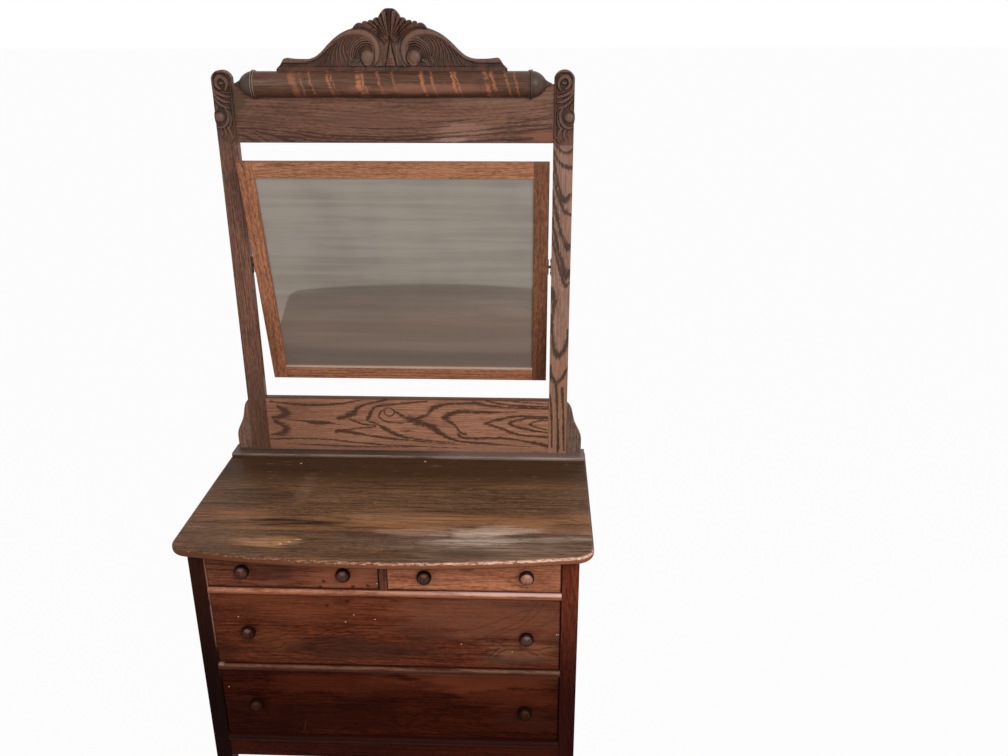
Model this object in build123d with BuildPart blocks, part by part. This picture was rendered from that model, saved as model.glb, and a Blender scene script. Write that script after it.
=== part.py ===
"""Oak dresser with four drawers and a mirror that swings between carved posts.

Frame: X to the right, Y to the back, Z up, in millimetres. The origin lies on the
floor, under the middle of the whole dresser with its mirror tilted as stored.
"""

import os
from math import asin, cos, radians, sin

from build123d import *

os.makedirs("parts", exist_ok=True)

SIDES = (("left", -1), ("right", 1))


def write_piece(piece, name):
    """Label a finished piece and write its STEP file."""
    piece.part.label = name
    export_step(piece.part, f"parts/{name}.step")


# ---------------------------------------------------------------- driving dimensions

# top board
top_width = 1067
top_thickness = 23
top_side_overhang = 36
top_front_overhang = 28  # where the bow starts, at the ends
top_back_overhang = 10
top_bow = 47
top_corner_radius = 50
top_edge_radius = 9

# case
case_depth = 540
leg_height = 125  # floor to the apron
post_width = 43
post_depth = 43
apron_height = 56
apron_thickness = 20
apron_setback = 2
rail_height = 20
rail_depth = 60
bead_proud = 8
large_opening = 220
small_opening = 108
divider_width = 19
divider_depth = 60

# framed sides and back
side_rail_height = 60
side_rail_thickness = 20
side_rail_setback = 5
side_panel_thickness = 8
panel_groove = 8
back_rail_height = 60
back_rail_thickness = 20
back_board_thickness = 8
back_rebate = 10
back_board_count = 3
back_board_gap = 0.5  # left open between two boards
edge_ease = 1.5  # worn round on posts, boards and drawer fronts

# joints of the case
tenon_length = 15
tenon_thickness = 10
tenon_setback = 12  # from the front face of the post
tenon_shoulder = 3  # above and below a tenon
side_tenon_thickness = 8
side_tenon_shoulder = 8
divider_tenon_length = 8

# drawer runners, stops and the top's fixings
runner_width = 20
guide_height = 30
stop_width = 30
stop_depth = 14
stop_height = 6
cleat_size = 18
screw_radius = 2.5
screw_head_radius = 5
screw_head_height = 2.5
screw_length = 32
screws_per_cleat = 3
screw_end_margin = 50  # from a cleat's end to its first screw

# drawers
drawer_gap = 1.5
drawer_setback = 1.5
runner_clearance = 0.3
front_thickness = 20
front_lip = 7  # left in front of the drawer's sides
drawer_side_thickness = 12
drawer_side_drop = 8  # side lower than the front
drawer_back_thickness = 12
drawer_bottom_thickness = 6
drawer_bottom_lift = 10  # from the side's lower edge
drawer_bottom_groove = 5
drawer_rear_gap = 12.5  # behind the closed drawer

# knobs
knob_radius = 19
knob_height = 30
knob_dome = 9
knob_foot_radius = 9
knob_neck_radius = 7.5
knob_foot_height = 2
knob_neck_height = 6
knob_flare_radius = 16
knob_flare_height = 12
knob_shank_radius = 4.5
shank_clearance = 0.05
knob_from_end = 95  # from the opening's end to the knob's line
knob_strays = {  # how far the left and the right hole were bored off their line, (x, z)
    "small_left": ((2.5, -1), (4, -4)),
    "small_right": ((3, -6), (5, -3.5)),
    "large_upper": ((0, -3), (5.5, -4.5)),
    "large_lower": ((-1, 1), (2.5, -5)),
}

# superstructure
ledge_inset = 3.5  # from the end of the top
ledge_depth = 66
ledge_thickness = 9
ledge_edge_radius = 3
mirror_post_width = 53
mirror_post_thickness = 22
mirror_post_height = 1094  # above the ledge
mirror_post_head_rise = 20
mirror_post_reveal = 35  # of ledge in front of the posts
post_tenon_width = 33
post_tenon_thickness = 12
post_tenon_depth = 14  # into the top
splat_height = 171
splat_thickness = 15
upper_rail_height = 149
upper_rail_thickness = 18
upper_rail_below_head = 36  # from the posts' top to the rail's upper edge
rail_face_setback = 2
rail_tenon_length = 10
rail_tenon_shoulder = 6
rail_tenon_thickness = 8

# turned roll
roll_radius = 33
roll_length = 708
ring_radius = 37
ring_width = 12
roll_end_length = 50

# crest
crest_width = 600
crest_thickness = 18
crest_height = 184
crest_relief = 12

# carved post heads
carving_width = 45
carving_height = 184
carving_thickness = 4
carving_relief = 5
carving_foot_width = 16
carving_foot_drop = 22  # narrower part at the lower end
carving_head_rise = 22
carving_below_shoulder = 6  # the scroll's centre under the post's shoulder
scroll_radius = 19
ball_radius = 15
ball_drop = 82  # from the scroll's centre to the ball's
ball_offset = 6  # outwards from the post's centre line

# scroll brackets
bracket_height = 160
bracket_foot = 45
bracket_thickness = 14

# mirror
mirror_width = 825
mirror_height = 680
mirror_member_width = 41.5
mirror_frame_thickness = 20
mirror_side_gap = 9
mirror_pivot_height = 580  # above the top's surface
mirror_above_pivot = 303
mirror_tilt = 12.5  # degrees, upper edge towards the front
mirror_edge_ease = 1  # along the frame's front edges
mirror_lip = 7  # in front of the glass
mirror_rebate = 10
mirror_tenon_length = 25
mirror_tenon_thickness = 7
mirror_tenon_shoulder = 5
glass_thickness = 5
glass_clearance = 1
backboard_thickness = 6

# pivots
pin_radius = 4
pin_clearance = 0.05
bush_radius = 6
bush_length = 16
pin_engagement = 13
pivot_plate_thickness = 2
pivot_plate_width = 16
pivot_plate_height = 46
pivot_screw_radius = 1.6
pivot_screw_spacing = 34
pivot_screw_length = 9
pivot_screw_head_radius = 3
pivot_screw_head_height = 1.2

# ---------------------------------------------------------------- derived places

# heights above the floor
apron_z = leg_height
rail_lower_z = apron_z + apron_height
large_lower_z = rail_lower_z + rail_height
rail_middle_z = large_lower_z + large_opening
large_upper_z = rail_middle_z + rail_height
rail_upper_z = large_upper_z + large_opening
small_z = rail_upper_z + rail_height
top_under_z = small_z + small_opening
top_z = top_under_z + top_thickness
ledge_z = top_z + ledge_thickness
pivot_z = top_z + mirror_pivot_height
shoulder_z = ledge_z + mirror_post_height - mirror_post_head_rise
upper_rail_top_z = ledge_z + mirror_post_height - upper_rail_below_head
upper_rail_z = upper_rail_top_z - upper_rail_height

# widths
case_width = top_width - 2 * top_side_overhang
case_half = case_width / 2
inner_half = case_half - post_width
opening_width = 2 * inner_half
ledge_width = top_width - 2 * ledge_inset
post_gap_half = mirror_width / 2 + mirror_side_gap
mirror_post_x = post_gap_half + mirror_post_width / 2

# depths: y_case is the case's front face
tilt = radians(mirror_tilt)
mirror_below_pivot = mirror_height - mirror_above_pivot
ledge_to_case = case_depth + top_back_overhang - ledge_depth
post_to_case = ledge_to_case + mirror_post_reveal
front_reach = top_front_overhang + top_bow
back_reach = (
    post_to_case
    + mirror_post_thickness / 2
    + mirror_below_pivot * sin(tilt)
    + mirror_frame_thickness / 2 * cos(tilt)
)
y_case = (front_reach - back_reach) / 2
y_case_back = y_case + case_depth
y_top_back = y_case_back + top_back_overhang
y_ledge = y_case + ledge_to_case
y_post = y_case + post_to_case
y_pivot = y_post + mirror_post_thickness / 2
y_rail_face = y_post + rail_face_setback
y_back_boards = y_case_back - back_board_thickness
y_back_rails = y_back_boards - back_rail_thickness
y_front = y_case + drawer_setback
y_drawer_back = y_back_rails - drawer_rear_gap
y_box = y_front + front_lip

# ---------------------------------------------------------------- case: posts and sides

front_rails = [
    (rail_lower_z, rail_height, tenon_shoulder),
    (rail_middle_z, rail_height, tenon_shoulder),
    (rail_upper_z, rail_height, tenon_shoulder),
]
apron_tenon = (apron_z, apron_height, side_tenon_shoulder)
side_rails = [(apron_z, side_rail_height), (top_under_z - side_rail_height, side_rail_height)]
rear_rails = [(apron_z, back_rail_height), (top_under_z - back_rail_height, back_rail_height)]
side_rail_x = case_half - side_rail_setback - side_rail_thickness / 2
side_span = case_depth - 2 * post_depth
side_mid_z = (apron_z + top_under_z) / 2
panel_height = top_under_z - apron_z - 2 * side_rail_height + 2 * panel_groove
y_side = y_case + case_depth / 2
y_tenon = y_case + tenon_setback + tenon_thickness / 2


def tenon(x, y, z, height, shoulder, size_x, size_y, mode=Mode.ADD):
    """A tenon, or the mortise cut for it, on a member from z to z + height."""
    with Locations((x, y, z + height / 2)):
        Box(size_x, size_y, height - 2 * shoulder, mode=mode)


for side, sign in SIDES:
    post_x = sign * (case_half - post_width / 2)
    mortise_x = sign * (inner_half + tenon_length / 2)

    # Front post: mortises for the front rails and the apron, and for the side frame.
    with BuildPart() as front_post:
        with Locations((post_x, y_case + post_depth / 2, 0)):
            Box(post_width, post_depth, top_under_z, align=(Align.CENTER, Align.CENTER, Align.MIN))
        for z, height, shoulder in front_rails + [apron_tenon]:
            tenon(mortise_x, y_tenon, z, height, shoulder, tenon_length, tenon_thickness, Mode.SUBTRACT)
        y_mortise = y_case + post_depth - tenon_length / 2
        for z, height in side_rails:
            tenon(sign * side_rail_x, y_mortise, z, height, panel_groove,
                  side_tenon_thickness, tenon_length, Mode.SUBTRACT)
        with Locations((sign * side_rail_x, y_case + post_depth - panel_groove / 2, side_mid_z)):
            Box(side_panel_thickness, panel_groove, panel_height, mode=Mode.SUBTRACT)
        fillet(edges().filter_by(Axis.Z).group_by(Axis.Y)[0], edge_ease)
    write_piece(front_post, f"front_post_{side}")

    # Rear post: the same mortises for the side frame, and a rebate for the back boards.
    with BuildPart() as rear_post:
        with Locations((post_x, y_case_back - post_depth / 2, 0)):
            Box(post_width, post_depth, top_under_z, align=(Align.CENTER, Align.CENTER, Align.MIN))
        y_mortise = y_case_back - post_depth + tenon_length / 2
        for z, height in side_rails:
            tenon(sign * side_rail_x, y_mortise, z, height, panel_groove,
                  side_tenon_thickness, tenon_length, Mode.SUBTRACT)
        for z, height in rear_rails:
            tenon(mortise_x, y_back_rails + back_rail_thickness / 2, z, height, side_tenon_shoulder,
                  tenon_length, side_tenon_thickness, Mode.SUBTRACT)
        with Locations((sign * side_rail_x, y_case_back - post_depth + panel_groove / 2, side_mid_z)):
            Box(side_panel_thickness, panel_groove, panel_height, mode=Mode.SUBTRACT)
        with Locations((sign * (inner_half + back_rebate / 2), y_back_boards + back_board_thickness / 2,
                        apron_z)):
            Box(back_rebate, back_board_thickness, top_under_z - apron_z,
                align=(Align.CENTER, Align.CENTER, Align.MIN), mode=Mode.SUBTRACT)
        outer_corner = edges().filter_by(Axis.Z).group_by(Axis.X)[0 if sign < 0 else -1]
        fillet(outer_corner.sort_by(Axis.Y)[-1], edge_ease)
    write_piece(rear_post, f"rear_post_{side}")

    # Upper and lower side rail, tenoned into both posts and grooved for the panel.
    with BuildPart() as rails:
        for z, height in side_rails:
            with Locations((sign * side_rail_x, y_side, z + height / 2)):
                Box(side_rail_thickness, side_span, height)
            for end in (-1, 1):
                tenon(sign * side_rail_x, y_side + end * (side_span + tenon_length) / 2, z, height,
                      panel_groove, side_tenon_thickness, tenon_length)
        with Locations((sign * side_rail_x, y_side, side_mid_z)):
            Box(side_panel_thickness, side_span, panel_height, mode=Mode.SUBTRACT)
    write_piece(rails, f"side_rails_{side}")

    # Side panel, let into the grooves of the rails and the posts.
    with BuildPart() as panel:
        with Locations((sign * side_rail_x, y_side, side_mid_z)):
            Box(side_panel_thickness, side_span + 2 * panel_groove, panel_height)
    write_piece(panel, f"side_panel_{side}")

# ---------------------------------------------------------------- case: front rails and back

for (z, height, shoulder), place in zip(front_rails, ("lower", "middle", "upper")):
    # Drawer rail with a half-round bead along its front edge.
    with BuildPart() as rail:
        with BuildSketch(Plane.YZ.offset(-inner_half)):
            with Locations((y_case + rail_depth / 2, z + height / 2)):
                Rectangle(rail_depth, height)
            with Locations((y_case, z + height / 2)):
                Ellipse(bead_proud, height / 2)
        extrude(amount=opening_width)
        for end in (-1, 1):
            tenon(end * (inner_half + tenon_length / 2), y_tenon, z, height, shoulder,
                  tenon_length, tenon_thickness)
        if place == "upper":
            with Locations((0, y_case + divider_depth / 2, z + height - divider_tenon_length / 2)):
                Box(tenon_thickness, divider_depth - 2 * tenon_setback, divider_tenon_length,
                    mode=Mode.SUBTRACT)
    write_piece(rail, f"drawer_rail_{place}")

# Apron under the lowest rail.
with BuildPart() as apron:
    with Locations((0, y_case + apron_setback + apron_thickness / 2, apron_z + apron_height / 2)):
        Box(opening_width, apron_thickness, apron_height)
    for end in (-1, 1):
        tenon(end * (inner_half + tenon_length / 2), y_tenon, *apron_tenon,
              tenon_length, tenon_thickness)
write_piece(apron, "apron")

# Upright between the two small drawers, with a stub tenon in the upper rail.
with BuildPart() as divider:
    with Locations((0, y_case + divider_depth / 2, small_z + small_opening / 2)):
        Box(divider_width, divider_depth, small_opening)
    with Locations((0, y_case + divider_depth / 2, small_z - divider_tenon_length / 2)):
        Box(tenon_thickness, divider_depth - 2 * tenon_setback, divider_tenon_length)
write_piece(divider, "centre_divider")

# Two rails across the back, tenoned into the rear posts.
with BuildPart() as back_rails:
    for z, height in rear_rails:
        with Locations((0, y_back_rails + back_rail_thickness / 2, z + height / 2)):
            Box(opening_width, back_rail_thickness, height)
        for end in (-1, 1):
            tenon(end * (inner_half + tenon_length / 2), y_back_rails + back_rail_thickness / 2, z,
                  height, side_tenon_shoulder, tenon_length, side_tenon_thickness)
write_piece(back_rails, "back_rails")

# Horizontal back boards, edge to edge in the rebates of the rear posts.
back_board_height = (top_under_z - apron_z) / back_board_count
with BuildPart() as back_boards:
    for i in range(back_board_count):
        with Locations((0, y_back_boards + back_board_thickness / 2,
                        apron_z + (i + 0.5) * back_board_height)):
            Box(opening_width + 2 * back_rebate, back_board_thickness,
                back_board_height - back_board_gap)
write_piece(back_boards, "back_boards")

# ---------------------------------------------------------------- runners, guides and stops

y_runner = y_case + rail_depth
y_posts = y_case + post_depth
levels = (rail_lower_z, rail_middle_z, rail_upper_z)

for side, sign in SIDES:
    # Runners: one arm under the drawer's side, one between the posts that also guides it.
    with BuildPart() as runners:
        guide_width = side_rail_x - side_rail_thickness / 2 - inner_half
        for z in levels:
            with Locations((sign * (inner_half - runner_width / 2), (y_runner + y_back_rails) / 2,
                            z + rail_height / 2)):
                Box(runner_width, y_back_rails - y_runner, rail_height)
            with Locations((sign * (inner_half + guide_width / 2), y_side, z)):
                Box(guide_width, side_span, rail_height + guide_height,
                    align=(Align.CENTER, Align.CENTER, Align.MIN))
    write_piece(runners, f"runners_{side}")

# Centre runner under both small drawers, with the guide between them.
centre_runner_length = y_back_boards - y_runner
with BuildPart() as centre_runner:
    with Locations((0, y_runner + centre_runner_length / 2, rail_upper_z + rail_height / 2)):
        Box(divider_width + 2 * runner_width, centre_runner_length, rail_height)
    with Locations((0, y_runner + (y_back_rails - y_runner) / 2, small_z + guide_height / 2)):
        Box(divider_width, y_back_rails - y_runner, guide_height)
write_piece(centre_runner, "centre_runner")

# Stop blocks on the rails, just behind the closed drawer fronts.
small_width = inner_half - divider_width / 2
small_centre = (inner_half + divider_width / 2) / 2
y_stop = y_case + drawer_setback + front_thickness + runner_clearance + stop_depth / 2
with BuildPart() as stops:
    for z in (large_lower_z, large_upper_z, small_z):
        with Locations((-small_centre, y_stop, z + stop_height / 2),
                       (small_centre, y_stop, z + stop_height / 2)):
            Box(stop_width, stop_depth, stop_height)
write_piece(stops, "drawer_stops")

# ---------------------------------------------------------------- top and its fixings

# Bowed top with rounded front corners, a worn round edge and two blind mortises.
with BuildPart() as top:
    with BuildSketch(Plane.XY.offset(top_under_z)):
        with BuildLine():
            y_ends = y_case - top_front_overhang
            ThreePointArc((-top_width / 2, y_ends), (0, y_ends - top_bow), (top_width / 2, y_ends))
            Polyline((top_width / 2, y_ends), (top_width / 2, y_top_back),
                     (-top_width / 2, y_top_back), (-top_width / 2, y_ends))
        make_face()
        fillet(vertices().group_by(Axis.Y)[0], top_corner_radius)
    extrude(amount=top_thickness)
    rim = faces().sort_by(Axis.Z)[-1].edges() + faces().sort_by(Axis.Z)[0].edges()
    fillet([edge for edge in rim if edge.center().Y < y_top_back - top_edge_radius], top_edge_radius)
    with Locations((-mirror_post_x, y_pivot, top_z), (mirror_post_x, y_pivot, top_z)):
        Box(post_tenon_width, post_tenon_thickness, 2 * post_tenon_depth, mode=Mode.SUBTRACT)
    cleat_x = side_rail_x - side_rail_thickness / 2 - cleat_size / 2
    screw_pitch = (side_span - 2 * screw_end_margin) / (screws_per_cleat - 1)
    screw_ys = [y_side + (i - (screws_per_cleat - 1) / 2) * screw_pitch for i in range(screws_per_cleat)]
    screw_places = [(sign * cleat_x, y) for sign in (-1, 1) for y in screw_ys]
    screw_bite = screw_length - cleat_size
    for x, y in screw_places:
        with Locations((x, y, top_under_z + screw_bite / 2)):
            Cylinder(screw_radius + shank_clearance, screw_bite, mode=Mode.SUBTRACT)
write_piece(top, "top")

# Cleats inside the upper side rails, bored for the screws.
with BuildPart() as cleats:
    for sign in (-1, 1):
        with Locations((sign * cleat_x, y_side, top_under_z - cleat_size / 2)):
            Box(cleat_size, side_span, cleat_size)
    for x, y in screw_places:
        with Locations((x, y, top_under_z - cleat_size / 2)):
            Cylinder(screw_radius + shank_clearance, cleat_size, mode=Mode.SUBTRACT)
write_piece(cleats, "top_cleats")

# Screws up through the cleats into the top, with flat cylindrical heads.
with BuildPart() as screws:
    for x, y in screw_places:
        with Locations((x, y, top_under_z - cleat_size + screw_length / 2)):
            Cylinder(screw_radius, screw_length)
        with Locations((x, y, top_under_z - cleat_size - screw_head_height / 2)):
            Cylinder(screw_head_radius, screw_head_height)
write_piece(screws, "top_screws")

# ---------------------------------------------------------------- drawers

drawers = [
    # name, centre x, width, floor and height of its opening
    ("small_left", -small_centre, small_width, small_z, small_opening),
    ("small_right", small_centre, small_width, small_z, small_opening),
    ("large_upper", 0, opening_width, large_upper_z, large_opening),
    ("large_lower", 0, opening_width, large_lower_z, large_opening),
]

# The turned knob that all drawers share, upright on its foot, with a shallow domed face.
dome_radius = (knob_radius**2 + knob_dome**2) / (2 * knob_dome)
dome_lean = asin(knob_radius / dome_radius) / 2
dome_middle = (dome_radius * sin(dome_lean), knob_height - dome_radius * (1 - cos(dome_lean)))
with BuildPart() as knob:
    with BuildSketch(Plane.XZ):
        with BuildLine():
            Polyline((0, knob_height), (0, -front_thickness), (knob_shank_radius, -front_thickness),
                     (knob_shank_radius, 0), (knob_foot_radius, 0), (knob_foot_radius, knob_foot_height))
            Spline((knob_foot_radius, knob_foot_height), (knob_neck_radius, knob_neck_height),
                   (knob_flare_radius, knob_flare_height), (knob_radius, knob_height - knob_dome))
            ThreePointArc((knob_radius, knob_height - knob_dome), dome_middle, (0, knob_height))
        make_face()
    revolve(axis=Axis.Z)

for name, x, width, z, height in drawers:
    half = width / 2 - drawer_gap
    front_z = z + drawer_gap
    front_height = height - 2 * drawer_gap
    side_z = z + runner_clearance
    side_height = front_height - drawer_side_drop
    bottom_z = side_z + drawer_bottom_lift
    knob_places = [(x + sign * (width / 2 - knob_from_end) + stray_x, z + height / 2 + stray_z)
                   for sign, (stray_x, stray_z) in zip((-1, 1), knob_strays[name])]
    inside = half - drawer_side_thickness

    # Front: rebated at both ends for the sides, grooved for the bottom, bored for the knobs.
    with BuildPart() as front:
        with Locations((x, y_front + front_thickness / 2, front_z + front_height / 2)):
            Box(2 * half, front_thickness, front_height)
        for sign in (-1, 1):
            with Locations((x + sign * (half - drawer_side_thickness / 2),
                            y_box + (front_thickness - front_lip) / 2, front_z + front_height / 2)):
                Box(drawer_side_thickness, front_thickness - front_lip, front_height, mode=Mode.SUBTRACT)
        with Locations((x, y_front + front_thickness - drawer_bottom_groove / 2,
                        bottom_z + drawer_bottom_thickness / 2)):
            Box(2 * inside + 2 * drawer_bottom_groove, drawer_bottom_groove, drawer_bottom_thickness,
                mode=Mode.SUBTRACT)
        for knob_x, knob_z in knob_places:
            with Locations(Location((knob_x, y_front + front_thickness / 2, knob_z), (90, 0, 0))):
                Cylinder(knob_shank_radius + shank_clearance, front_thickness, mode=Mode.SUBTRACT)
        face_edges = edges().filter_by(GeomType.LINE).group_by(Axis.Y)[0]
        fillet(face_edges, edge_ease)
    write_piece(front, f"{name}_front")

    # Box: two sides grooved for the bottom, and the back that stands on the bottom.
    with BuildPart() as box:
        for sign in (-1, 1):
            with Locations((x + sign * (half - drawer_side_thickness / 2), (y_box + y_drawer_back) / 2,
                            side_z + side_height / 2)):
                Box(drawer_side_thickness, y_drawer_back - y_box, side_height)
            with Locations((x + sign * (inside + drawer_bottom_groove / 2),
                            (y_front + front_thickness + y_drawer_back) / 2 - drawer_bottom_groove / 2,
                            bottom_z + drawer_bottom_thickness / 2)):
                Box(drawer_bottom_groove,
                    y_drawer_back - y_front - front_thickness + drawer_bottom_groove,
                    drawer_bottom_thickness, mode=Mode.SUBTRACT)
        back_bottom = bottom_z + drawer_bottom_thickness
        with Locations((x, y_drawer_back - drawer_back_thickness / 2,
                        (back_bottom + side_z + side_height) / 2)):
            Box(2 * inside, drawer_back_thickness, side_z + side_height - back_bottom)
    write_piece(box, f"{name}_box")

    # Bottom: slid in from the back, under the back board.
    with BuildPart() as bottom:
        with Locations((x, (y_front + front_thickness - drawer_bottom_groove + y_drawer_back) / 2,
                        bottom_z + drawer_bottom_thickness / 2)):
            Box(2 * inside + 2 * drawer_bottom_groove,
                y_drawer_back - y_front - front_thickness + drawer_bottom_groove,
                drawer_bottom_thickness)
    write_piece(bottom, f"{name}_bottom")

    # Two turned knobs, with their shanks through the front.
    with BuildPart() as knobs:
        with Locations(*[Location((knob_x, y_front, knob_z), (90, 0, 0)) for knob_x, knob_z in knob_places]):
            add(knob.part)
    write_piece(knobs, f"{name}_knobs")

# ---------------------------------------------------------------- superstructure

# Ledge: thin board across the back of the top, with through mortises for the posts.
with BuildPart() as ledge:
    with Locations((0, y_ledge + ledge_depth / 2, top_z + ledge_thickness / 2)):
        Box(ledge_width, ledge_depth, ledge_thickness)
    upper_front = edges().filter_by(Axis.X).group_by(Axis.Y)[0].sort_by(Axis.Z)[-1]
    fillet(upper_front, ledge_edge_radius)
    with Locations((-mirror_post_x, y_pivot, top_z + ledge_thickness / 2),
                   (mirror_post_x, y_pivot, top_z + ledge_thickness / 2)):
        Box(post_tenon_width, post_tenon_thickness, ledge_thickness, mode=Mode.SUBTRACT)
write_piece(ledge, "ledge")

y_splat = y_rail_face + splat_thickness / 2
y_upper_rail = y_rail_face + upper_rail_thickness / 2
post_boards = [
    (y_splat, ledge_z, splat_height),
    (y_upper_rail, upper_rail_z, upper_rail_height),
]

for side, sign in SIDES:
    # Flat post with a rounded head, a foot tenon and mortises for the two boards.
    with BuildPart() as post:
        with BuildSketch(Plane.XZ.offset(-y_post)):
            with BuildLine():
                x0 = sign * mirror_post_x - mirror_post_width / 2
                x1 = sign * mirror_post_x + mirror_post_width / 2
                Polyline((x0, shoulder_z), (x0, ledge_z), (x1, ledge_z), (x1, shoulder_z))
                ThreePointArc((x1, shoulder_z),
                              (sign * mirror_post_x, shoulder_z + mirror_post_head_rise),
                              (x0, shoulder_z))
            make_face()
        extrude(amount=-mirror_post_thickness)
        arrises = edges().group_by(Axis.Y)[0] + edges().group_by(Axis.Y)[-1]
        fillet([edge for edge in arrises if edge.center().Z > ledge_z + edge_ease], edge_ease)
        with Locations((sign * mirror_post_x, y_pivot, ledge_z)):
            Box(post_tenon_width, post_tenon_thickness, ledge_thickness + post_tenon_depth,
                align=(Align.CENTER, Align.CENTER, Align.MAX))
        for y, z, height in post_boards:
            tenon(sign * (post_gap_half + rail_tenon_length / 2), y, z, height, rail_tenon_shoulder,
                  rail_tenon_length, rail_tenon_thickness, Mode.SUBTRACT)
        for dz in (-pivot_screw_spacing / 2, pivot_screw_spacing / 2):
            with Locations(Location((sign * (post_gap_half + pivot_screw_length / 2), y_pivot,
                                     pivot_z + dz), (0, 90, 0))):
                Cylinder(pivot_screw_radius + shank_clearance, pivot_screw_length, mode=Mode.SUBTRACT)
    write_piece(post, f"mirror_post_{side}")

# Splat: the lower board between the posts, standing on the ledge.
# Upper rail: the board over the mirror, which carries the roll and the crest.
for name, thickness, (y, z, height) in (("splat", splat_thickness, post_boards[0]),
                                        ("upper_rail", upper_rail_thickness, post_boards[1])):
    with BuildPart() as board:
        with Locations((0, y, z + height / 2)):
            Box(2 * post_gap_half, thickness, height)
        fillet(edges().filter_by(Axis.X).group_by(Axis.Z)[-1 if name == "splat" else 0], edge_ease)
        for end in (-1, 1):
            tenon(end * (post_gap_half + rail_tenon_length / 2), y, z, height, rail_tenon_shoulder,
                  rail_tenon_length, rail_tenon_thickness)
    write_piece(board, name)

# Roll: half of a turning with rings and pointed ends, flat against the rail and the crest.
with BuildPart() as roll:
    ring_x = roll_length / 2
    end_x = ring_x + ring_width
    with BuildSketch(Plane(origin=(0, y_rail_face, upper_rail_top_z), x_dir=(1, 0, 0), z_dir=(0, -1, 0))):
        with BuildLine():
            Polyline((0, 0), (0, roll_radius), (ring_x, roll_radius), (ring_x, ring_radius),
                     (end_x, ring_radius), (end_x, roll_radius))
            Spline((end_x, roll_radius), (end_x + roll_end_length * 0.24, roll_radius * 0.86),
                   (end_x + roll_end_length * 0.5, roll_radius * 0.55),
                   (end_x + roll_end_length * 0.78, roll_radius * 0.24),
                   (end_x + roll_end_length, roll_radius * 0.08))
            Polyline((end_x + roll_end_length, roll_radius * 0.08), (end_x + roll_end_length, 0), (0, 0))
        make_face()
    revolve(axis=Axis((0, y_rail_face, upper_rail_top_z), (1, 0, 0)), revolution_arc=360)
    mirror(about=Plane.YZ)
    split(bisect_by=Plane.XZ.offset(-y_rail_face), keep=Keep.TOP)
write_piece(roll, "roll")

# Crest: board on the upper rail, behind the roll. Its outline rises from a flat shoulder in a
# long S to a leaf edge and a round finial, given as shares of its half width and its height.
crest_rise = [(0.783, 0.334), (0.683, 0.359), (0.60, 0.446), (0.517, 0.579), (0.433, 0.668),
              (0.307, 0.747)]
crest_finial = [(0.287, 0.783), (0.207, 0.837), (0.133, 0.853), (0.08, 0.924), (0.05, 0.975), (0, 1)]


def crest_points(shares):
    return [(crest_width / 2 * u, upper_rail_top_z + crest_height * v) for u, v in shares]


with BuildPart() as crest:
    with BuildSketch(Plane.XZ.offset(-(y_rail_face + crest_thickness))):
        with BuildLine():
            shoulder = Polyline(*crest_points([(0, 0), (1, 0), (1, 0.2), (0.943, 0.332), (0.92, 0.345)]))
            rise = Spline(shoulder @ 1, *crest_points(crest_rise))
            finial = Spline(rise @ 1, *crest_points(crest_finial), tangents=((-0.4, 1), (-1, 0)))
            Line(finial @ 1, shoulder @ 0)
        make_face()
        mirror(about=Plane.YZ)
    extrude(amount=crest_thickness)
    # carved masses on the front: a fan and a scroll eye on each side, a palmette between them
    for sign in (-1, 1):
        with BuildSketch(Plane.XZ.offset(-y_rail_face)):
            with Locations(*crest_points([(sign * 0.22, 0.47)])):
                Ellipse(crest_width * 0.075, crest_height * 0.24)
        extrude(amount=crest_relief)
    with BuildSketch(Plane.XZ.offset(-y_rail_face)):
        with BuildLine():
            Polyline(*crest_points([(-0.06, 0.26), (0.06, 0.26), (0.05, 0.8)]))
            ThreePointArc(*crest_points([(0.05, 0.8), (0, 0.95), (-0.05, 0.8)]))
            Line(*crest_points([(-0.05, 0.8), (-0.06, 0.26)]))
        make_face()
    extrude(amount=crest_relief)
write_piece(crest, "crest")

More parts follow.
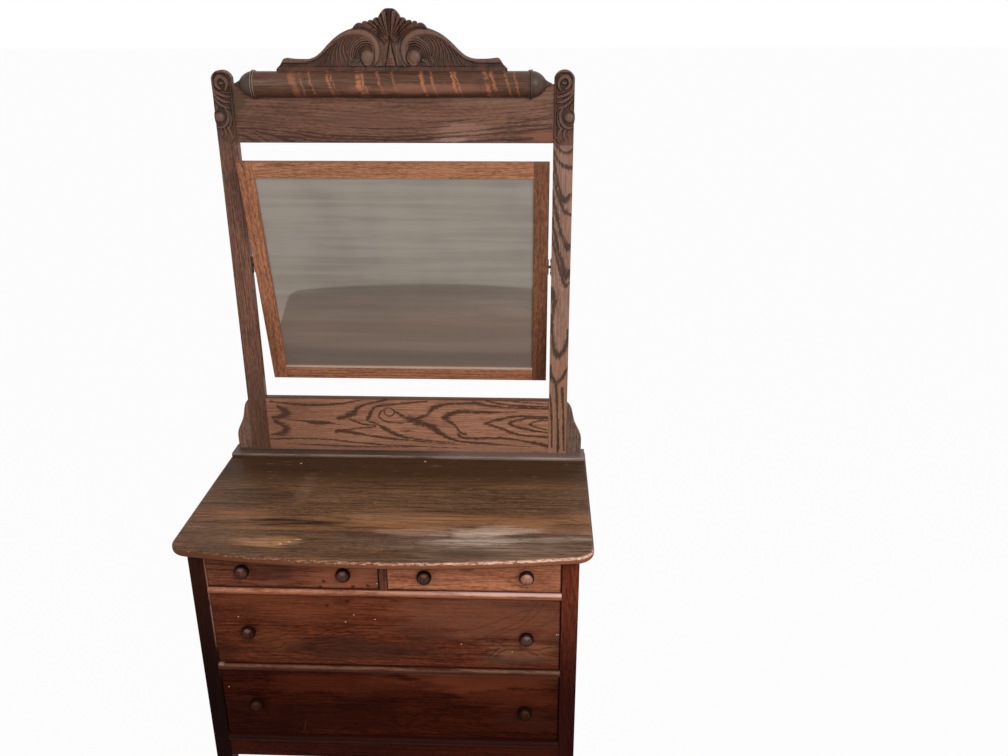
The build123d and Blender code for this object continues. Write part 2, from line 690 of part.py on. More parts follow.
for side, sign in SIDES:
    # Carved mount on the post head: a scroll, a ball and a drop of leaves.
    with BuildPart() as carving:
        head_z = shoulder_z - carving_below_shoulder
        foot_z = head_z - carving_height + carving_head_rise
        with BuildSketch(Plane.XZ.offset(-y_post)):
            with BuildLine():
                c = sign * mirror_post_x
                w = carving_width / 2
                foot = carving_foot_width / 2
                Polyline((c - w, head_z), (c - w, foot_z + 2 * carving_foot_drop), (c - foot, foot_z),
                         (c + foot, foot_z), (c + w, foot_z + 2 * carving_foot_drop), (c + w, head_z))
                ThreePointArc((c + w, head_z), (c, head_z + carving_head_rise), (c - w, head_z))
            make_face()
        extrude(amount=carving_thickness)
        ball_x = c + sign * ball_offset
        for x, z, radius in ((c, head_z, scroll_radius), (ball_x, head_z - ball_drop, ball_radius)):
            with BuildSketch(Plane.XZ.offset(-y_post + carving_thickness)):
                with Locations((x, z)):
                    Circle(radius)
            extrude(amount=carving_relief)
    write_piece(carving, f"post_carving_{side}")

    # Scroll bracket outside the post, standing on the ledge.
    with BuildPart() as bracket:
        x0 = sign * (post_gap_half + mirror_post_width)
        with BuildSketch(Plane.XZ.offset(-(y_post + mirror_post_thickness - bracket_thickness))):
            with BuildLine():
                Polyline((x0, ledge_z + bracket_height), (x0, ledge_z),
                         (x0 + sign * bracket_foot, ledge_z),
                         (x0 + sign * bracket_foot, ledge_z + bracket_height * 0.24))
                Spline((x0 + sign * bracket_foot, ledge_z + bracket_height * 0.24),
                       (x0 + sign * bracket_foot * 0.87, ledge_z + bracket_height * 0.41),
                       (x0 + sign * bracket_foot * 0.55, ledge_z + bracket_height * 0.60),
                       (x0 + sign * bracket_foot * 0.33, ledge_z + bracket_height * 0.86),
                       (x0, ledge_z + bracket_height),
                       tangents=((0, 1), (-sign, 0.7)))
            make_face()
        extrude(amount=-bracket_thickness)
        curved = edges().filter_by(GeomType.BSPLINE)
        fillet(curved, edge_ease)
    write_piece(bracket, f"bracket_{side}")

    # Fixed pivot: plate on the post's inner face, with the pin that the mirror turns on.
    with BuildPart() as pivot:
        plate_x = sign * (post_gap_half - pivot_plate_thickness / 2)
        with Locations((plate_x, y_pivot, pivot_z)):
            Box(pivot_plate_thickness, pivot_plate_width, pivot_plate_height)
        pin_length = mirror_side_gap - pivot_plate_thickness + pin_engagement
        pin_x = sign * (post_gap_half - pivot_plate_thickness - pin_length / 2)
        with Locations(Location((pin_x, y_pivot, pivot_z), (0, 90, 0))):
            Cylinder(pin_radius, pin_length)
        for dz in (-pivot_screw_spacing / 2, pivot_screw_spacing / 2):
            with Locations(Location((sign * (post_gap_half + pivot_screw_length / 2), y_pivot,
                                     pivot_z + dz), (0, 90, 0))):
                Cylinder(pivot_screw_radius, pivot_screw_length)
            head_x = sign * (post_gap_half - pivot_plate_thickness - pivot_screw_head_height / 2)
            with Locations(Location((head_x, y_pivot, pivot_z + dz), (0, 90, 0))):
                Cylinder(pivot_screw_head_radius, pivot_screw_head_height)
    write_piece(pivot, f"post_pivot_{side}")

# ---------------------------------------------------------------- mirror

# The mirror is drawn in its own tilted plane: x to the right, y up along the frame and
# z towards the viewer, with its origin on the pivot axis in the middle of the thickness.
mirror_plane = Plane(origin=(0, y_pivot, pivot_z), x_dir=(1, 0, 0), z_dir=(0, -cos(tilt), -sin(tilt)))
mirror_axis = Axis(mirror_plane.origin, mirror_plane.z_dir)
frame_back = mirror_plane.offset(-mirror_frame_thickness / 2)
frame_mid_y = (mirror_above_pivot - mirror_below_pivot) / 2
pocket_width = mirror_width - 2 * mirror_member_width + 2 * mirror_rebate
pocket_height = mirror_height - 2 * mirror_member_width + 2 * mirror_rebate
pocket_depth = mirror_frame_thickness - mirror_lip
stile_x = (mirror_width - mirror_member_width) / 2
rail_y = (mirror_height - mirror_member_width) / 2
rail_length = mirror_width - 2 * mirror_member_width
mirror_tenon_height = mirror_member_width - mirror_rebate - 2 * mirror_tenon_shoulder
mirror_tenon_y = (mirror_height - mirror_tenon_height) / 2 - mirror_tenon_shoulder


def mirror_tenons(xs, ys, mode):
    """Tenons of the mirror's rails at the given ends, or the mortises for them."""
    with BuildSketch(mirror_plane.offset(-mirror_tenon_thickness / 2)) as ends:
        with Locations(*[(x, frame_mid_y + y) for x in xs for y in ys]):
            Rectangle(mirror_tenon_length, mirror_tenon_height)
    extrude(ends.sketch, amount=mirror_tenon_thickness, mode=mode)


def glass_pocket():
    """Rebate for the glass and its board, cut from the back."""
    with BuildSketch(frame_back) as pocket:
        with Locations((0, frame_mid_y)):
            Rectangle(pocket_width, pocket_height)
    extrude(pocket.sketch, amount=pocket_depth, mode=Mode.SUBTRACT)


tenon_x = (rail_length + mirror_tenon_length) / 2
for side, sign in SIDES:
    # Stile: full height, mortised for the rails and bored for the pivot's bush.
    with BuildPart() as stile:
        with BuildSketch(frame_back):
            with Locations((sign * stile_x, frame_mid_y)):
                Rectangle(mirror_member_width, mirror_height)
        extrude(amount=mirror_frame_thickness)
        fillet(edges().group_by(mirror_axis)[-1], mirror_edge_ease)
        glass_pocket()
        mirror_tenons([sign * tenon_x], [-mirror_tenon_y, mirror_tenon_y], Mode.SUBTRACT)
        with Locations(Location((sign * (mirror_width / 2 - bush_length / 2), y_pivot, pivot_z), (0, 90, 0))):
            Cylinder(bush_radius + shank_clearance, bush_length, mode=Mode.SUBTRACT)
    write_piece(stile, f"mirror_stile_{side}")

    # Socket: flange on the stile's edge with a bush for the pin.
    with BuildPart() as socket:
        flange = Plane(origin=(sign * mirror_width / 2, y_pivot, pivot_z), x_dir=mirror_plane.y_dir,
                       z_dir=(sign, 0, 0))
        with BuildSketch(flange):
            SlotOverall(pivot_plate_height, pivot_plate_width)
        extrude(amount=pivot_plate_thickness)
        with BuildSketch(flange):
            Circle(bush_radius)
        extrude(amount=-bush_length)
        with BuildSketch(flange.offset(-bush_length)):
            Circle(pin_radius + pin_clearance)
        extrude(amount=bush_length + pivot_plate_thickness, mode=Mode.SUBTRACT)
    write_piece(socket, f"mirror_socket_{side}")

for place, sign in (("bottom", -1), ("top", 1)):
    # Rail between the stiles, with a tenon at each end.
    with BuildPart() as rail:
        with BuildSketch(frame_back):
            with Locations((0, frame_mid_y + sign * rail_y)):
                Rectangle(rail_length, mirror_member_width)
        extrude(amount=mirror_frame_thickness)
        fillet(edges().filter_by(Axis.X).group_by(mirror_axis)[-1], mirror_edge_ease)
        glass_pocket()
        mirror_tenons([-tenon_x, tenon_x], [sign * mirror_tenon_y], Mode.ADD)
    write_piece(rail, f"mirror_rail_{place}")

# Silvered glass against the frame's lip, and the board that holds it there.
glass_width = pocket_width - 2 * glass_clearance
glass_height = pocket_height - 2 * glass_clearance
with BuildPart() as glass:
    with BuildSketch(frame_back.offset(pocket_depth - glass_thickness)):
        with Locations((0, frame_mid_y)):
            Rectangle(glass_width, glass_height)
    extrude(amount=glass_thickness)
write_piece(glass, "mirror_glass")

with BuildPart() as backboard:
    with BuildSketch(frame_back.offset(pocket_depth - glass_thickness - backboard_thickness)):
        with Locations((0, frame_mid_y)):
            Rectangle(pocket_width, pocket_height)
    extrude(amount=backboard_thickness)
write_piece(backboard, "mirror_backboard")
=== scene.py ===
"""Oak dresser with four drawers and a tilting mirror: finish, carving and scene.

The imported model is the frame. Metres, +X to the right seen from the front, +Y to the
back, +Z up. Each section below dresses one piece or one group of like pieces.
"""

import math

import bmesh
import bpy
import numpy as np
from mathutils import Euler, Matrix, Vector


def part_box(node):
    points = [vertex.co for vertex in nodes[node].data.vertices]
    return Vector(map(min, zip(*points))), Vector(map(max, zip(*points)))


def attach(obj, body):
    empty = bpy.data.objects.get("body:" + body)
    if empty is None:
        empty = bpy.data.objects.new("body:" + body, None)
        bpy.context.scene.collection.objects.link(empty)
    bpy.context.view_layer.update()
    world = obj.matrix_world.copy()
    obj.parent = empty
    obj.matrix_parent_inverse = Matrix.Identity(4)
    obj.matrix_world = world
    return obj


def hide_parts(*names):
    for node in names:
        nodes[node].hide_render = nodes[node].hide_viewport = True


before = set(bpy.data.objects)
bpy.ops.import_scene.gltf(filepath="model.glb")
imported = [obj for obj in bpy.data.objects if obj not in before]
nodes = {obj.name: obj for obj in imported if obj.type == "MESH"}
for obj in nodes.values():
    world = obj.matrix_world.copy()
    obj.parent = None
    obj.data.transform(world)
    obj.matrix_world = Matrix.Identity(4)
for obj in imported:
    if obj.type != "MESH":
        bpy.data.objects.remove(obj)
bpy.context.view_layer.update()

# ---------------------------------------------------------------- corner posts and framed sides
#
# Four posts of sawn oak run down as the legs, with rails and a thin panel let in between
# them at each side. Stained dark red-brown and varnished; painted shade darkens them to
# near black towards the floor.


class Finish:
    """A material being mixed: its node tree, with short ways to add to it."""

    def __init__(self, name):
        self.material = bpy.data.materials.new(name)
        self.material.use_nodes = True
        self.tree = self.material.node_tree
        self.shader = self.tree.nodes["Principled BSDF"]
        self.place = self.node("ShaderNodeTexCoord").outputs["Object"]

    def node(self, kind, *feeds, **settings):
        """A node with its settings, and its inputs linked or set in order."""
        made = self.tree.nodes.new(kind)
        for key, value in settings.items():
            setattr(made, key, value)
        for socket, feed in zip(made.inputs, feeds):
            self.feed(socket, feed)
        return made

    def feed(self, socket, value):
        if isinstance(value, bpy.types.NodeSocket):
            self.tree.links.new(value, socket)
        elif value is not None:
            socket.default_value = value

    def calc(self, operation, *values, clamp=False):
        return self.node("ShaderNodeMath", *values, operation=operation, use_clamp=clamp).outputs[0]

    def span(self, value, low, high, to_low=0.0, to_high=1.0):
        """The value's stretch from low to high, spread smoothly over another one."""
        return self.node("ShaderNodeMapRange", value, low, high, to_low, to_high,
                         interpolation_type="SMOOTHSTEP").outputs[0]

    def vector(self, operation, *values, result=0):
        return self.node("ShaderNodeVectorMath", *values, operation=operation).outputs[result]

    def noise(self, place, stretch, detail=2.0, roughness=0.5):
        """Noise from 0 to 1 whose cells per metre along each axis are given by stretch."""
        scaled = self.vector("MULTIPLY", place, stretch)
        return self.node("ShaderNodeTexNoise", scaled, None, 1.0, detail, roughness).outputs[0]

    def times(self, first, *others):
        """The product of masks and strengths."""
        for other in others:
            first = self.calc("MULTIPLY", first, other)
        return first

    def mix(self, factor, first, second):
        made = self.tree.nodes.new("ShaderNodeMix")
        made.data_type = "RGBA"
        for socket, value in zip((made.inputs[0], made.inputs[6], made.inputs[7]), (factor, first, second)):
            if isinstance(value, tuple):
                value = (*value, 1.0)
            self.feed(socket, value)
        return made.outputs[2]

    def spot(self, centre, reach, wobble=0.0, stretch=(18.0, 18.0, 18.0)):
        """1 near a point of the object, falling to 0 at reach, with an uneven edge."""
        away = self.vector("SUBTRACT", self.place, centre)
        scaled = self.vector("MULTIPLY", away, tuple(1 / r for r in reach))
        length = self.vector("LENGTH", scaled, result="Value")
        if wobble:
            uneven = self.noise(self.place, stretch, 4.0, 0.65)
            length = self.calc("ADD", length, self.calc("MULTIPLY_ADD", uneven, wobble, -wobble / 2))
        return self.span(length, 1.0, 0.35)

    def stroke(self, points, width):
        """1 along a line through points of the object, falling unevenly to 0 at width from it."""
        uneven = self.noise(self.place, (70.0, 70.0, 420.0), 4.0, 0.75)
        nearest = 1.0
        for start, end in zip(points, points[1:]):
            run = Vector(end) - Vector(start)
            away = self.vector("SUBTRACT", self.place, start)
            passed = self.vector("DOT_PRODUCT", away, tuple(run), result="Value")
            share = self.calc("MULTIPLY", passed, 1 / run.length_squared, clamp=True)
            along = self.vector("SCALE", tuple(run), None, None, share)
            off = self.vector("SUBTRACT", away, along)
            nearest = self.calc("MINIMUM", nearest, self.vector("LENGTH", off, result="Value"))
        return self.span(self.calc("MULTIPLY_ADD", uneven, 2.4 * width, nearest), 2.1 * width, 1.1 * width)

    def paint(self, tone, *shares):
        """Lay a tone over the colour so far, as strongly as the product of the shares."""
        self.colour = self.mix(self.times(*shares), self.colour, tone)

    def onto(self, *names):
        """Finish the material and put it on CAD nodes or on pieces made here."""
        self.feed(self.shader.inputs["Base Color"], self.colour)
        for name in names:
            piece = nodes.get(name) or bpy.data.objects[name]
            piece.data.materials.clear()
            piece.data.materials.append(self.material)


def tone(red, green, blue):
    """A colour as a painter's chart gives it, 0 to 255, in the renderer's linear light."""
    return tuple((c / 255 / 12.92 if c < 11 else ((c / 255 + 0.055) / 1.055) ** 2.4)
                 for c in (red, green, blue))


def oak(name, grain, face, heart, pale, deep, line, slant=(0.0, 0.0), ring=0.0045, sway=0.012,
        figure=0.8, gloss=0.38, shine=0.16, seed=0.0, swirls=(), teeth=0.7):
    """Varnished oak as sawn: grain runs along one axis and the board faces another.

    The year rings are tubes, ring wide, round a heart that lies off to the side and behind
    the face. slant tips the heart, so that a flat face shows tall arches, sway bends it, and
    a swirl (along, across, its two reaches, depth) is a place where they close into an
    island. teeth is how ragged each year's edge is, figure how strongly the years show.
    gloss is the varnish's roughness, shine how much it reflects at a glance.
    """
    f = Finish(name)
    axes = f.node("ShaderNodeSeparateXYZ", f.place).outputs
    side = ({"X", "Y", "Z"} - {grain, face}).pop()
    along, across, depth = (axes["XYZ".index(a)] for a in (grain, side, face))
    f.board = f.node("ShaderNodeCombineXYZ", f.calc("ADD", along, seed), across, depth).outputs[0]
    f.x, f.y, f.z = axes

    # distance from the heart, bent a little, then counted in years of uneven growth
    bend_a = f.calc("MULTIPLY_ADD", f.noise(f.board, (1.7, 5.0, 5.0), 2.0), 2 * sway, -sway)
    elsewhere = f.vector("ADD", f.board, (7.3, 1.9, 4.1))
    bend_d = f.calc("MULTIPLY_ADD", f.noise(elsewhere, (3.0, 11.0, 11.0), 3.0), 2 * sway, -sway)
    a = f.calc("MULTIPLY_ADD", along, slant[0], f.calc("ADD", f.calc("SUBTRACT", across, heart[0]), bend_a))
    d = f.calc("MULTIPLY_ADD", along, slant[1], f.calc("ADD", f.calc("SUBTRACT", depth, heart[1]), bend_d))
    radius = f.calc("SQRT", f.calc("MULTIPLY_ADD", a, a, f.times(d, d)))
    for along_0, across_0, long_reach, wide_reach, hump in swirls:
        u = f.times(f.calc("SUBTRACT", along, along_0), 1 / long_reach)
        v = f.times(f.calc("SUBTRACT", across, across_0), 1 / wide_reach)
        far = f.calc("MULTIPLY_ADD", u, f.times(u, -1.0), f.times(v, v, -1.0))
        radius = f.calc("MULTIPLY_ADD", f.calc("EXPONENT", far), hump, radius)
    wet_years = f.noise(f.node("ShaderNodeCombineXYZ", radius, seed).outputs[0], (0.3 / ring, 1.0, 1.0))
    ragged = f.noise(f.board, (40.0, 300.0, 300.0), 3.0, 0.6)
    year = f.calc("ADD", f.calc("MULTIPLY_ADD", radius, 1 / ring, f.times(wet_years, 1.6)),
                  f.times(ragged, teeth))
    growth = f.calc("FRACT", year)

    # open pores crowd the start of a year and thin out; some years are darker than others
    spring = f.calc("MAXIMUM", f.span(growth, 0.46, 0.05), f.span(growth, 0.93, 1.0))
    pores = f.span(f.noise(f.board, (45.0, 800.0, 800.0), 2.0), 0.48, 0.62)
    open_grain = f.times(spring, f.calc("MULTIPLY_ADD", pores, 0.4, 0.6))
    year_and_length = f.node("ShaderNodeCombineXYZ", radius, along).outputs[0]
    drawn = f.span(f.noise(year_and_length, (0.9 / ring, 2.5, 1.0)), 0.3, 0.62, 0.3, 1.0)
    fibre = f.noise(f.board, (9.0, 260.0, 260.0), 4.0, 0.7)
    f.cloud = f.noise(f.board, (2.2, 9.0, 9.0), 3.0, 0.6)
    uneven = f.calc("MULTIPLY_ADD", fibre, 0.62, f.times(f.cloud, 0.38))
    f.colour = f.mix(f.span(uneven, 0.40, 0.60), deep, pale)
    f.paint(line, open_grain, drawn, figure)

    # fine specks, dark and pale, as old varnish shows in raking light
    speckle = f.noise(f.board, (55.0, 170.0, 170.0), 4.0, 0.8)
    f.paint(line, f.span(speckle, 0.50, 0.62), 0.45 * figure)
    f.paint(tuple(1.3 * c for c in pale), f.span(speckle, 0.49, 0.38), 0.35 * figure)

    # the open grain lies sunk and duller under the varnish
    height = f.calc("MULTIPLY_ADD", open_grain, -0.7, f.times(fibre, 0.5))
    f.feed(f.shader.inputs["Normal"], f.node("ShaderNodeBump", 0.4, 0.0008, None, height).outputs[0])
    rough = f.calc("ADD", f.calc("MULTIPLY_ADD", f.cloud, 0.16, gloss - 0.08), f.times(open_grain, 0.14))
    f.feed(f.shader.inputs["Roughness"], rough)
    f.shader.inputs["Specular IOR Level"].default_value = shine
    return f


post_low, post_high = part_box("front_post_left")
inner_arris, post_front = post_high.x, post_low.y
shade_top, shade_full = 0.84, 0.30
worn_foot, worn_full = 0.36, 0.62
for side, heart in (("left", (-0.62, 0.02)), ("right", (0.57, 0.03))):
    light = side == "right"
    post = oak(f"post_oak_{side}", "Z", "Y", heart, tone(116, 56, 38) if light else tone(52, 25, 17),
               tone(80, 32, 21) if light else tone(34, 13, 8), tone(32, 11, 8), slant=(0.012, 0.03),
               shine=0.02, seed=3.1 * heart[0])
    uneven = post.calc("MULTIPLY_ADD", post.cloud, 0.5, -0.25)
    # painted shade: the posts darken unevenly to near black towards the floor
    painted_floor_shade = post.calc("ADD", post.span(post.z, shade_top, shade_full), uneven, clamp=True)
    post.paint(tone(26, 2, 3) if light else tone(14, 2, 1), painted_floor_shade, 0.9)
    if side == "left":
        arris = post.times(post.span(post.x, inner_arris - 0.004, inner_arris),
                           post.span(post.y, post_front + 0.0112, post_front + 0.0052))
        broken = post.span(post.noise(post.board, (14.0, 60.0, 60.0), 4.0, 0.7), 0.40, 0.55)
        worn = post.times(arris, broken, post.span(post.z, worn_foot, worn_full))
        post.paint(tone(150, 108, 92), worn, 0.8)
    post.onto(f"front_post_{side}", f"rear_post_{side}")

    rails = oak(f"side_rail_oak_{side}", "Y", "X", (heart[0], 0.4), tone(96, 50, 35), tone(62, 28, 19),
                tone(36, 14, 9), slant=(0.0, 0.04), shine=0.08, seed=5.0 + heart[0])
    rails.onto(f"side_rails_{side}")
    panel = oak(f"side_panel_oak_{side}", "Z", "X", (0.03, heart[0] * 0.85), tone(104, 55, 38),
                tone(66, 31, 21), tone(38, 16, 10), slant=(0.01, 0.05), ring=0.004, sway=0.02,
                shine=0.08, seed=8.0 + heart[0])
    panel.onto(f"side_panel_{side}")

# ---------------------------------------------------------------- beaded drawer rails, divider and apron
#
# Oak rails between the drawers, each with a half-round bead run along its front edge. The
# beads stand proud, so hands and dusters have rubbed them back to a pale orange; a painted
# highlight lies along their tops too, brightest to the right, with painted shade below them.

bead_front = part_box("drawer_rail_upper")[0].y
bead_half = 0.007
for place, lightened, chalk, worn_and_lit_tone, pale, deep, crown_foot in (
        ("upper", 0.8, 0.35, tone(190, 138, 114), tone(142, 84, 58), tone(98, 52, 34), -0.003),
        ("middle", 0.75, 0.3, tone(122, 86, 68), tone(74, 40, 27), tone(48, 23, 15), 0.0),
        ("lower", 0.5, 0.0, tone(46, 18, 12), tone(40, 12, 7), tone(24, 6, 3), -0.003)):
    name = f"drawer_rail_{place}"
    low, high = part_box(name)
    middle_z = (low.z + high.z) / 2
    rail = oak(f"rail_oak_{place}", "X", "Z", (0.08, middle_z - 0.03), pale, deep, tone(40, 14, 9),
               slant=(0.01, 0.02), figure=0.55, shine=0.03, seed=middle_z)
    # the bead's upper half: worn pale, and carrying a painted highlight that grows towards the right
    crown = rail.times(rail.span(rail.y, post_front - 0.001, post_front - 0.005),
                       rail.span(rail.z, middle_z + crown_foot, middle_z + bead_half))
    streak = rail.span(rail.noise(rail.board, (9.0, 60.0, 60.0), 5.0, 0.75), 0.34, 0.60)
    lighter_to_right = rail.span(rail.x, -0.45, 0.30, 0.55 * lightened, lightened)
    rail.paint(worn_and_lit_tone, crown, streak, lighter_to_right)
    chalky = rail.span(rail.noise(rail.board, (55.0, 300.0, 300.0), 5.0, 0.8), 0.5, 0.68)
    rail.paint(tuple(1.7 * c for c in worn_and_lit_tone), crown, chalky, chalk)
    # painted highlight: brighter bands along the top of the upper bead at the right
    if place == "upper":
        right = rail.span(rail.x, 0.0, 0.34)
        for start, full, strength, colour in ((0.003, -0.003, 0.75, tone(152, 88, 58)),
                                              (0.002, 0.006, 0.6, tone(216, 180, 170))):
            band = rail.times(rail.span(rail.z, middle_z + start, middle_z + full), right)
            rail.paint(colour, band, strength)
    # painted shade under the bead, and in the line where the rail meets the drawer behind it
    rail.paint(tone(44, 17, 11), rail.span(rail.z, middle_z - 0.004, middle_z - 0.009), 0.8)
    rail.paint(tone(48, 20, 13), rail.span(rail.y, post_front - 0.002, post_front + 0.001), 0.8)
    if place == "middle":
        dent = rail.spot((-0.446, bead_front, high.z), (0.011, 0.03, 0.006), 1.6, (90.0, 90.0, 90.0))
        rail.paint(tone(160, 132, 112), dent, 0.5)
    rail.onto(name)

divider = oak("divider_oak", "Z", "Y", (0.05, -0.16), tone(108, 62, 44), tone(74, 38, 26), tone(40, 16, 10),
              shine=0.1, seed=2.2)
divider.onto("centre_divider")
apron = oak("apron_oak", "X", "Y", (0.22, -0.2), tone(62, 22, 11), tone(40, 12, 6), tone(22, 6, 3),
            slant=(0.02, 0.0), shine=0.015, seed=6.4)
apron.onto("apron")

# ---------------------------------------------------------------- back, runners and cleats
#
# Plain sawn wood that nobody was meant to see: never stained, only gone brown and dusty.
# The boards are nailed in the back rebates, the runners glued and nailed to the posts.

board_seams = (0.395, 0.605)
for names, grain, face, heart in (
        (("back_rails", "back_boards"), "X", "Y", (0.5, 0.34)),
        (("runners_left", "runners_right", "centre_runner"), "Y", "Z", (0.0, 0.2)),
        (("drawer_stops", "top_cleats"), "Y", "Z", (0.1, 0.9))):
    inner = oak(f"inner_wood_{names[0]}", grain, face, heart, tone(158, 126, 92), tone(122, 92, 64),
                tone(88, 62, 42), slant=(0.01, 0.03), figure=0.5, gloss=0.75, seed=heart[0] * 9)
    inner.paint(tone(84, 70, 56), inner.span(inner.cloud, 0.4, 0.75), 0.5)
    if "back_boards" in names:
        for seam in board_seams:
            off_seam = inner.calc("ABSOLUTE", inner.calc("SUBTRACT", inner.z, seam))
            inner.paint(tone(30, 21, 15), inner.span(off_seam, 0.0018, 0.0009), 0.85)
    inner.onto(*names)


def turned(name, profile, centres, axis, sweep=math.tau, steps=72):
    """A turning at each centre: profile lists (along the axis, radius), swept round the axis.

    A sweep of half a turn leaves the flat back of a turning that was sawn in two.
    """
    along = Vector(axis)
    up = Vector((0.0, 0.0, 1.0))
    shape = bmesh.new()
    closed = sweep == math.tau
    for centre in centres:
        rows = []
        for row in range(steps if closed else steps + 1):
            angle = sweep * row / steps
            ray = up * math.cos(angle) + along.cross(up) * math.sin(angle)
            rows.append([shape.verts.new(Vector(centre) + along * a + ray * r) for a, r in profile])
        if closed:
            rows.append(rows[0])
        for here, there in zip(rows, rows[1:]):
            for i in range(len(profile) - 1):
                shape.faces.new((here[i], here[i + 1], there[i + 1], there[i]))
    bmesh.ops.remove_doubles(shape, verts=shape.verts, dist=1e-6)
    bmesh.ops.dissolve_degenerate(shape, edges=shape.edges, dist=1e-7)
    bmesh.ops.holes_fill(shape, edges=[e for e in shape.edges if e.is_boundary])
    bmesh.ops.recalc_face_normals(shape, faces=shape.faces)
    return stand(name, shape)


def stand(name, shape, crease=40.0):
    """The finished mesh as an object, smooth except where it turns sharper than crease."""
    mesh = bpy.data.meshes.new(name)
    shape.to_mesh(mesh)
    shape.free()
    mesh.shade_smooth()
    mesh.set_sharp_from_angle(angle=math.radians(crease))
    piece = bpy.data.objects.new(name, mesh)
    bpy.context.scene.collection.objects.link(piece)
    return piece


boards_low, boards_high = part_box("back_boards")
from_side, from_end, nails_a_side = 0.006, 0.03, 9
nail_x = boards_high.x - from_side
nail_rows = np.linspace(boards_low.z + from_end, boards_high.z - from_end, nails_a_side)
nail_places = [(side * nail_x, boards_high.y, z) for side in (-1, 1) for z in nail_rows]
nail_profile = [(-0.004, 0.0), (-0.004, 0.0012), (0.0, 0.0030), (0.0005, 0.0026), (0.0007, 0.0)]
nails = turned("back_nails", nail_profile, nail_places, (0.0, 1.0, 0.0), steps=16)
nail_iron = Finish("nail_iron")
specks = nail_iron.noise(nail_iron.place, (700.0, 700.0, 700.0), 3.0)
nail_iron.colour = nail_iron.mix(specks, tone(52, 44, 40), tone(88, 62, 46))
nail_iron.shader.inputs["Metallic"].default_value = 0.8
nail_iron.shader.inputs["Roughness"].default_value = 0.6
nail_iron.onto(nails.name)
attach(nails, "case")

# ---------------------------------------------------------------- the top
#
# Three glued boards with the grain running across, bowed in front and rounded on the edge.
# A century of use has dulled it olive and grey. A sheen at the right front, a highlight
# along the front edge and shade under that edge are painted on.

top_low, top_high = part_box("top")
top_wood = oak("top_oak", "X", "Z", (0.1, 0.62), tone(127, 91, 66), tone(83, 58, 41), tone(46, 31, 22),
               slant=(0.05, 0.02), ring=0.006, sway=0.03, figure=0.85, gloss=0.36, shine=0.04, seed=1.7)
wavy = top_wood.noise(top_wood.board, (2.5, 14.0, 14.0), 5.0, 0.7)
wavy_y = top_wood.calc("MULTIPLY_ADD", wavy, 0.04, top_wood.y)
front_joint, rear_joint, joint_half = -0.205, -0.085, 0.0008
for from_y, to_y, strength, colour in (
        (0.00, 0.13, 0.9, tone(44, 24, 13)),
        (-0.03, 0.04, 0.25, tone(94, 66, 44)),
        (rear_joint, rear_joint + 0.002, 0.2, tone(70, 52, 38))):
    behind = top_wood.span(wavy_y, from_y + 0.02, to_y + 0.02)
    top_wood.paint(colour, behind, strength)
middle_board = top_wood.times(top_wood.span(top_wood.y, front_joint - joint_half, front_joint + joint_half),
                              top_wood.span(top_wood.y, rear_joint, rear_joint - 0.05))
top_wood.paint(tone(146, 98, 64), middle_board, top_wood.span(wavy, 0.38, 0.62, 0.05, 0.7))
front_board = top_wood.span(top_wood.y, front_joint + joint_half, front_joint - joint_half)
top_wood.paint(tone(62, 46, 36), front_board, top_wood.span(wavy, 0.35, 0.65, 0.5, 0.0))
long_streaks = top_wood.noise(top_wood.board, (7.0, 190.0, 190.0), 5.0, 0.75)
in_streaks = top_wood.span(long_streaks, 0.34, 0.60, 0.25, 1.15)
stain_z, stain_depth = top_high.z - 0.002, 0.05
for (x, y), (wide, deep), strength, colour in (
    # the three pale grey patches below, at the right front, are a painted sheen
    ((0.32, -0.27), (0.34, 0.14), 0.50, tone(142, 116, 98)),
    ((0.24, -0.235), (0.17, 0.05), 0.60, tone(186, 164, 148)),
    ((0.44, -0.23), (0.10, 0.03), 0.45, tone(176, 152, 136)),
    ((0.02, -0.25), (0.20, 0.05), 0.30, tone(108, 92, 82)),
    ((-0.28, -0.265), (0.11, 0.03), 0.80, tone(172, 126, 90)),
    ((-0.38, -0.24), (0.12, 0.05), 0.35, tone(132, 96, 70)),
    ((-0.25, -0.165), (0.17, 0.03), 0.90, tone(40, 28, 20)),
    ((-0.05, -0.225), (0.10, 0.02), 0.45, tone(50, 38, 32)),
    ((0.07, -0.20), (0.10, 0.035), 0.55, tone(170, 132, 108)),
    # a painted sheen
    ((0.28, -0.20), (0.13, 0.035), 0.55, tone(196, 168, 148)),
    ((0.46, -0.18), (0.06, 0.05), 0.55, tone(80, 56, 40)),
    ((0.22, -0.305), (0.12, 0.025), 0.55, tone(50, 38, 32)),
    ((0.06, -0.13), (0.30, 0.035), 0.55, tone(160, 116, 86)),
    ((0.45, -0.11), (0.07, 0.04), 0.45, tone(82, 58, 42)),
    ((-0.38, -0.03), (0.17, 0.06), 0.60, tone(54, 38, 28)),
    ((-0.26, 0.02), (0.03, 0.10), 0.30, tone(132, 102, 80)),
    ((0.30, 0.05), (0.26, 0.03), 0.35, tone(128, 94, 66)),
    ((0.20, -0.10), (0.34, 0.03), 0.40, tone(58, 43, 32)),
):
    tint_patch = top_wood.spot((x, y, stain_z), (wide, deep, stain_depth), 2.4, (5.0, 55.0, 55.0))
    top_wood.paint(colour, tint_patch, in_streaks, strength)
dark_streaks = top_wood.span(top_wood.noise(top_wood.board, (4.0, 130.0, 130.0), 5.0, 0.7), 0.52, 0.64)
top_wood.paint(tone(42, 30, 23), dark_streaks, 0.6)
mottled = top_wood.span(top_wood.noise(top_wood.place, (34.0, 60.0, 60.0), 5.0, 0.75), 0.54, 0.68)
worn_front = top_wood.span(top_wood.y, -0.08, -0.20)
top_wood.paint(tone(52, 38, 30), mottled, worn_front, 0.5)
scratches = top_wood.span(top_wood.noise(top_wood.board, (22.0, 300.0, 300.0), 2.0), 0.68, 0.76)
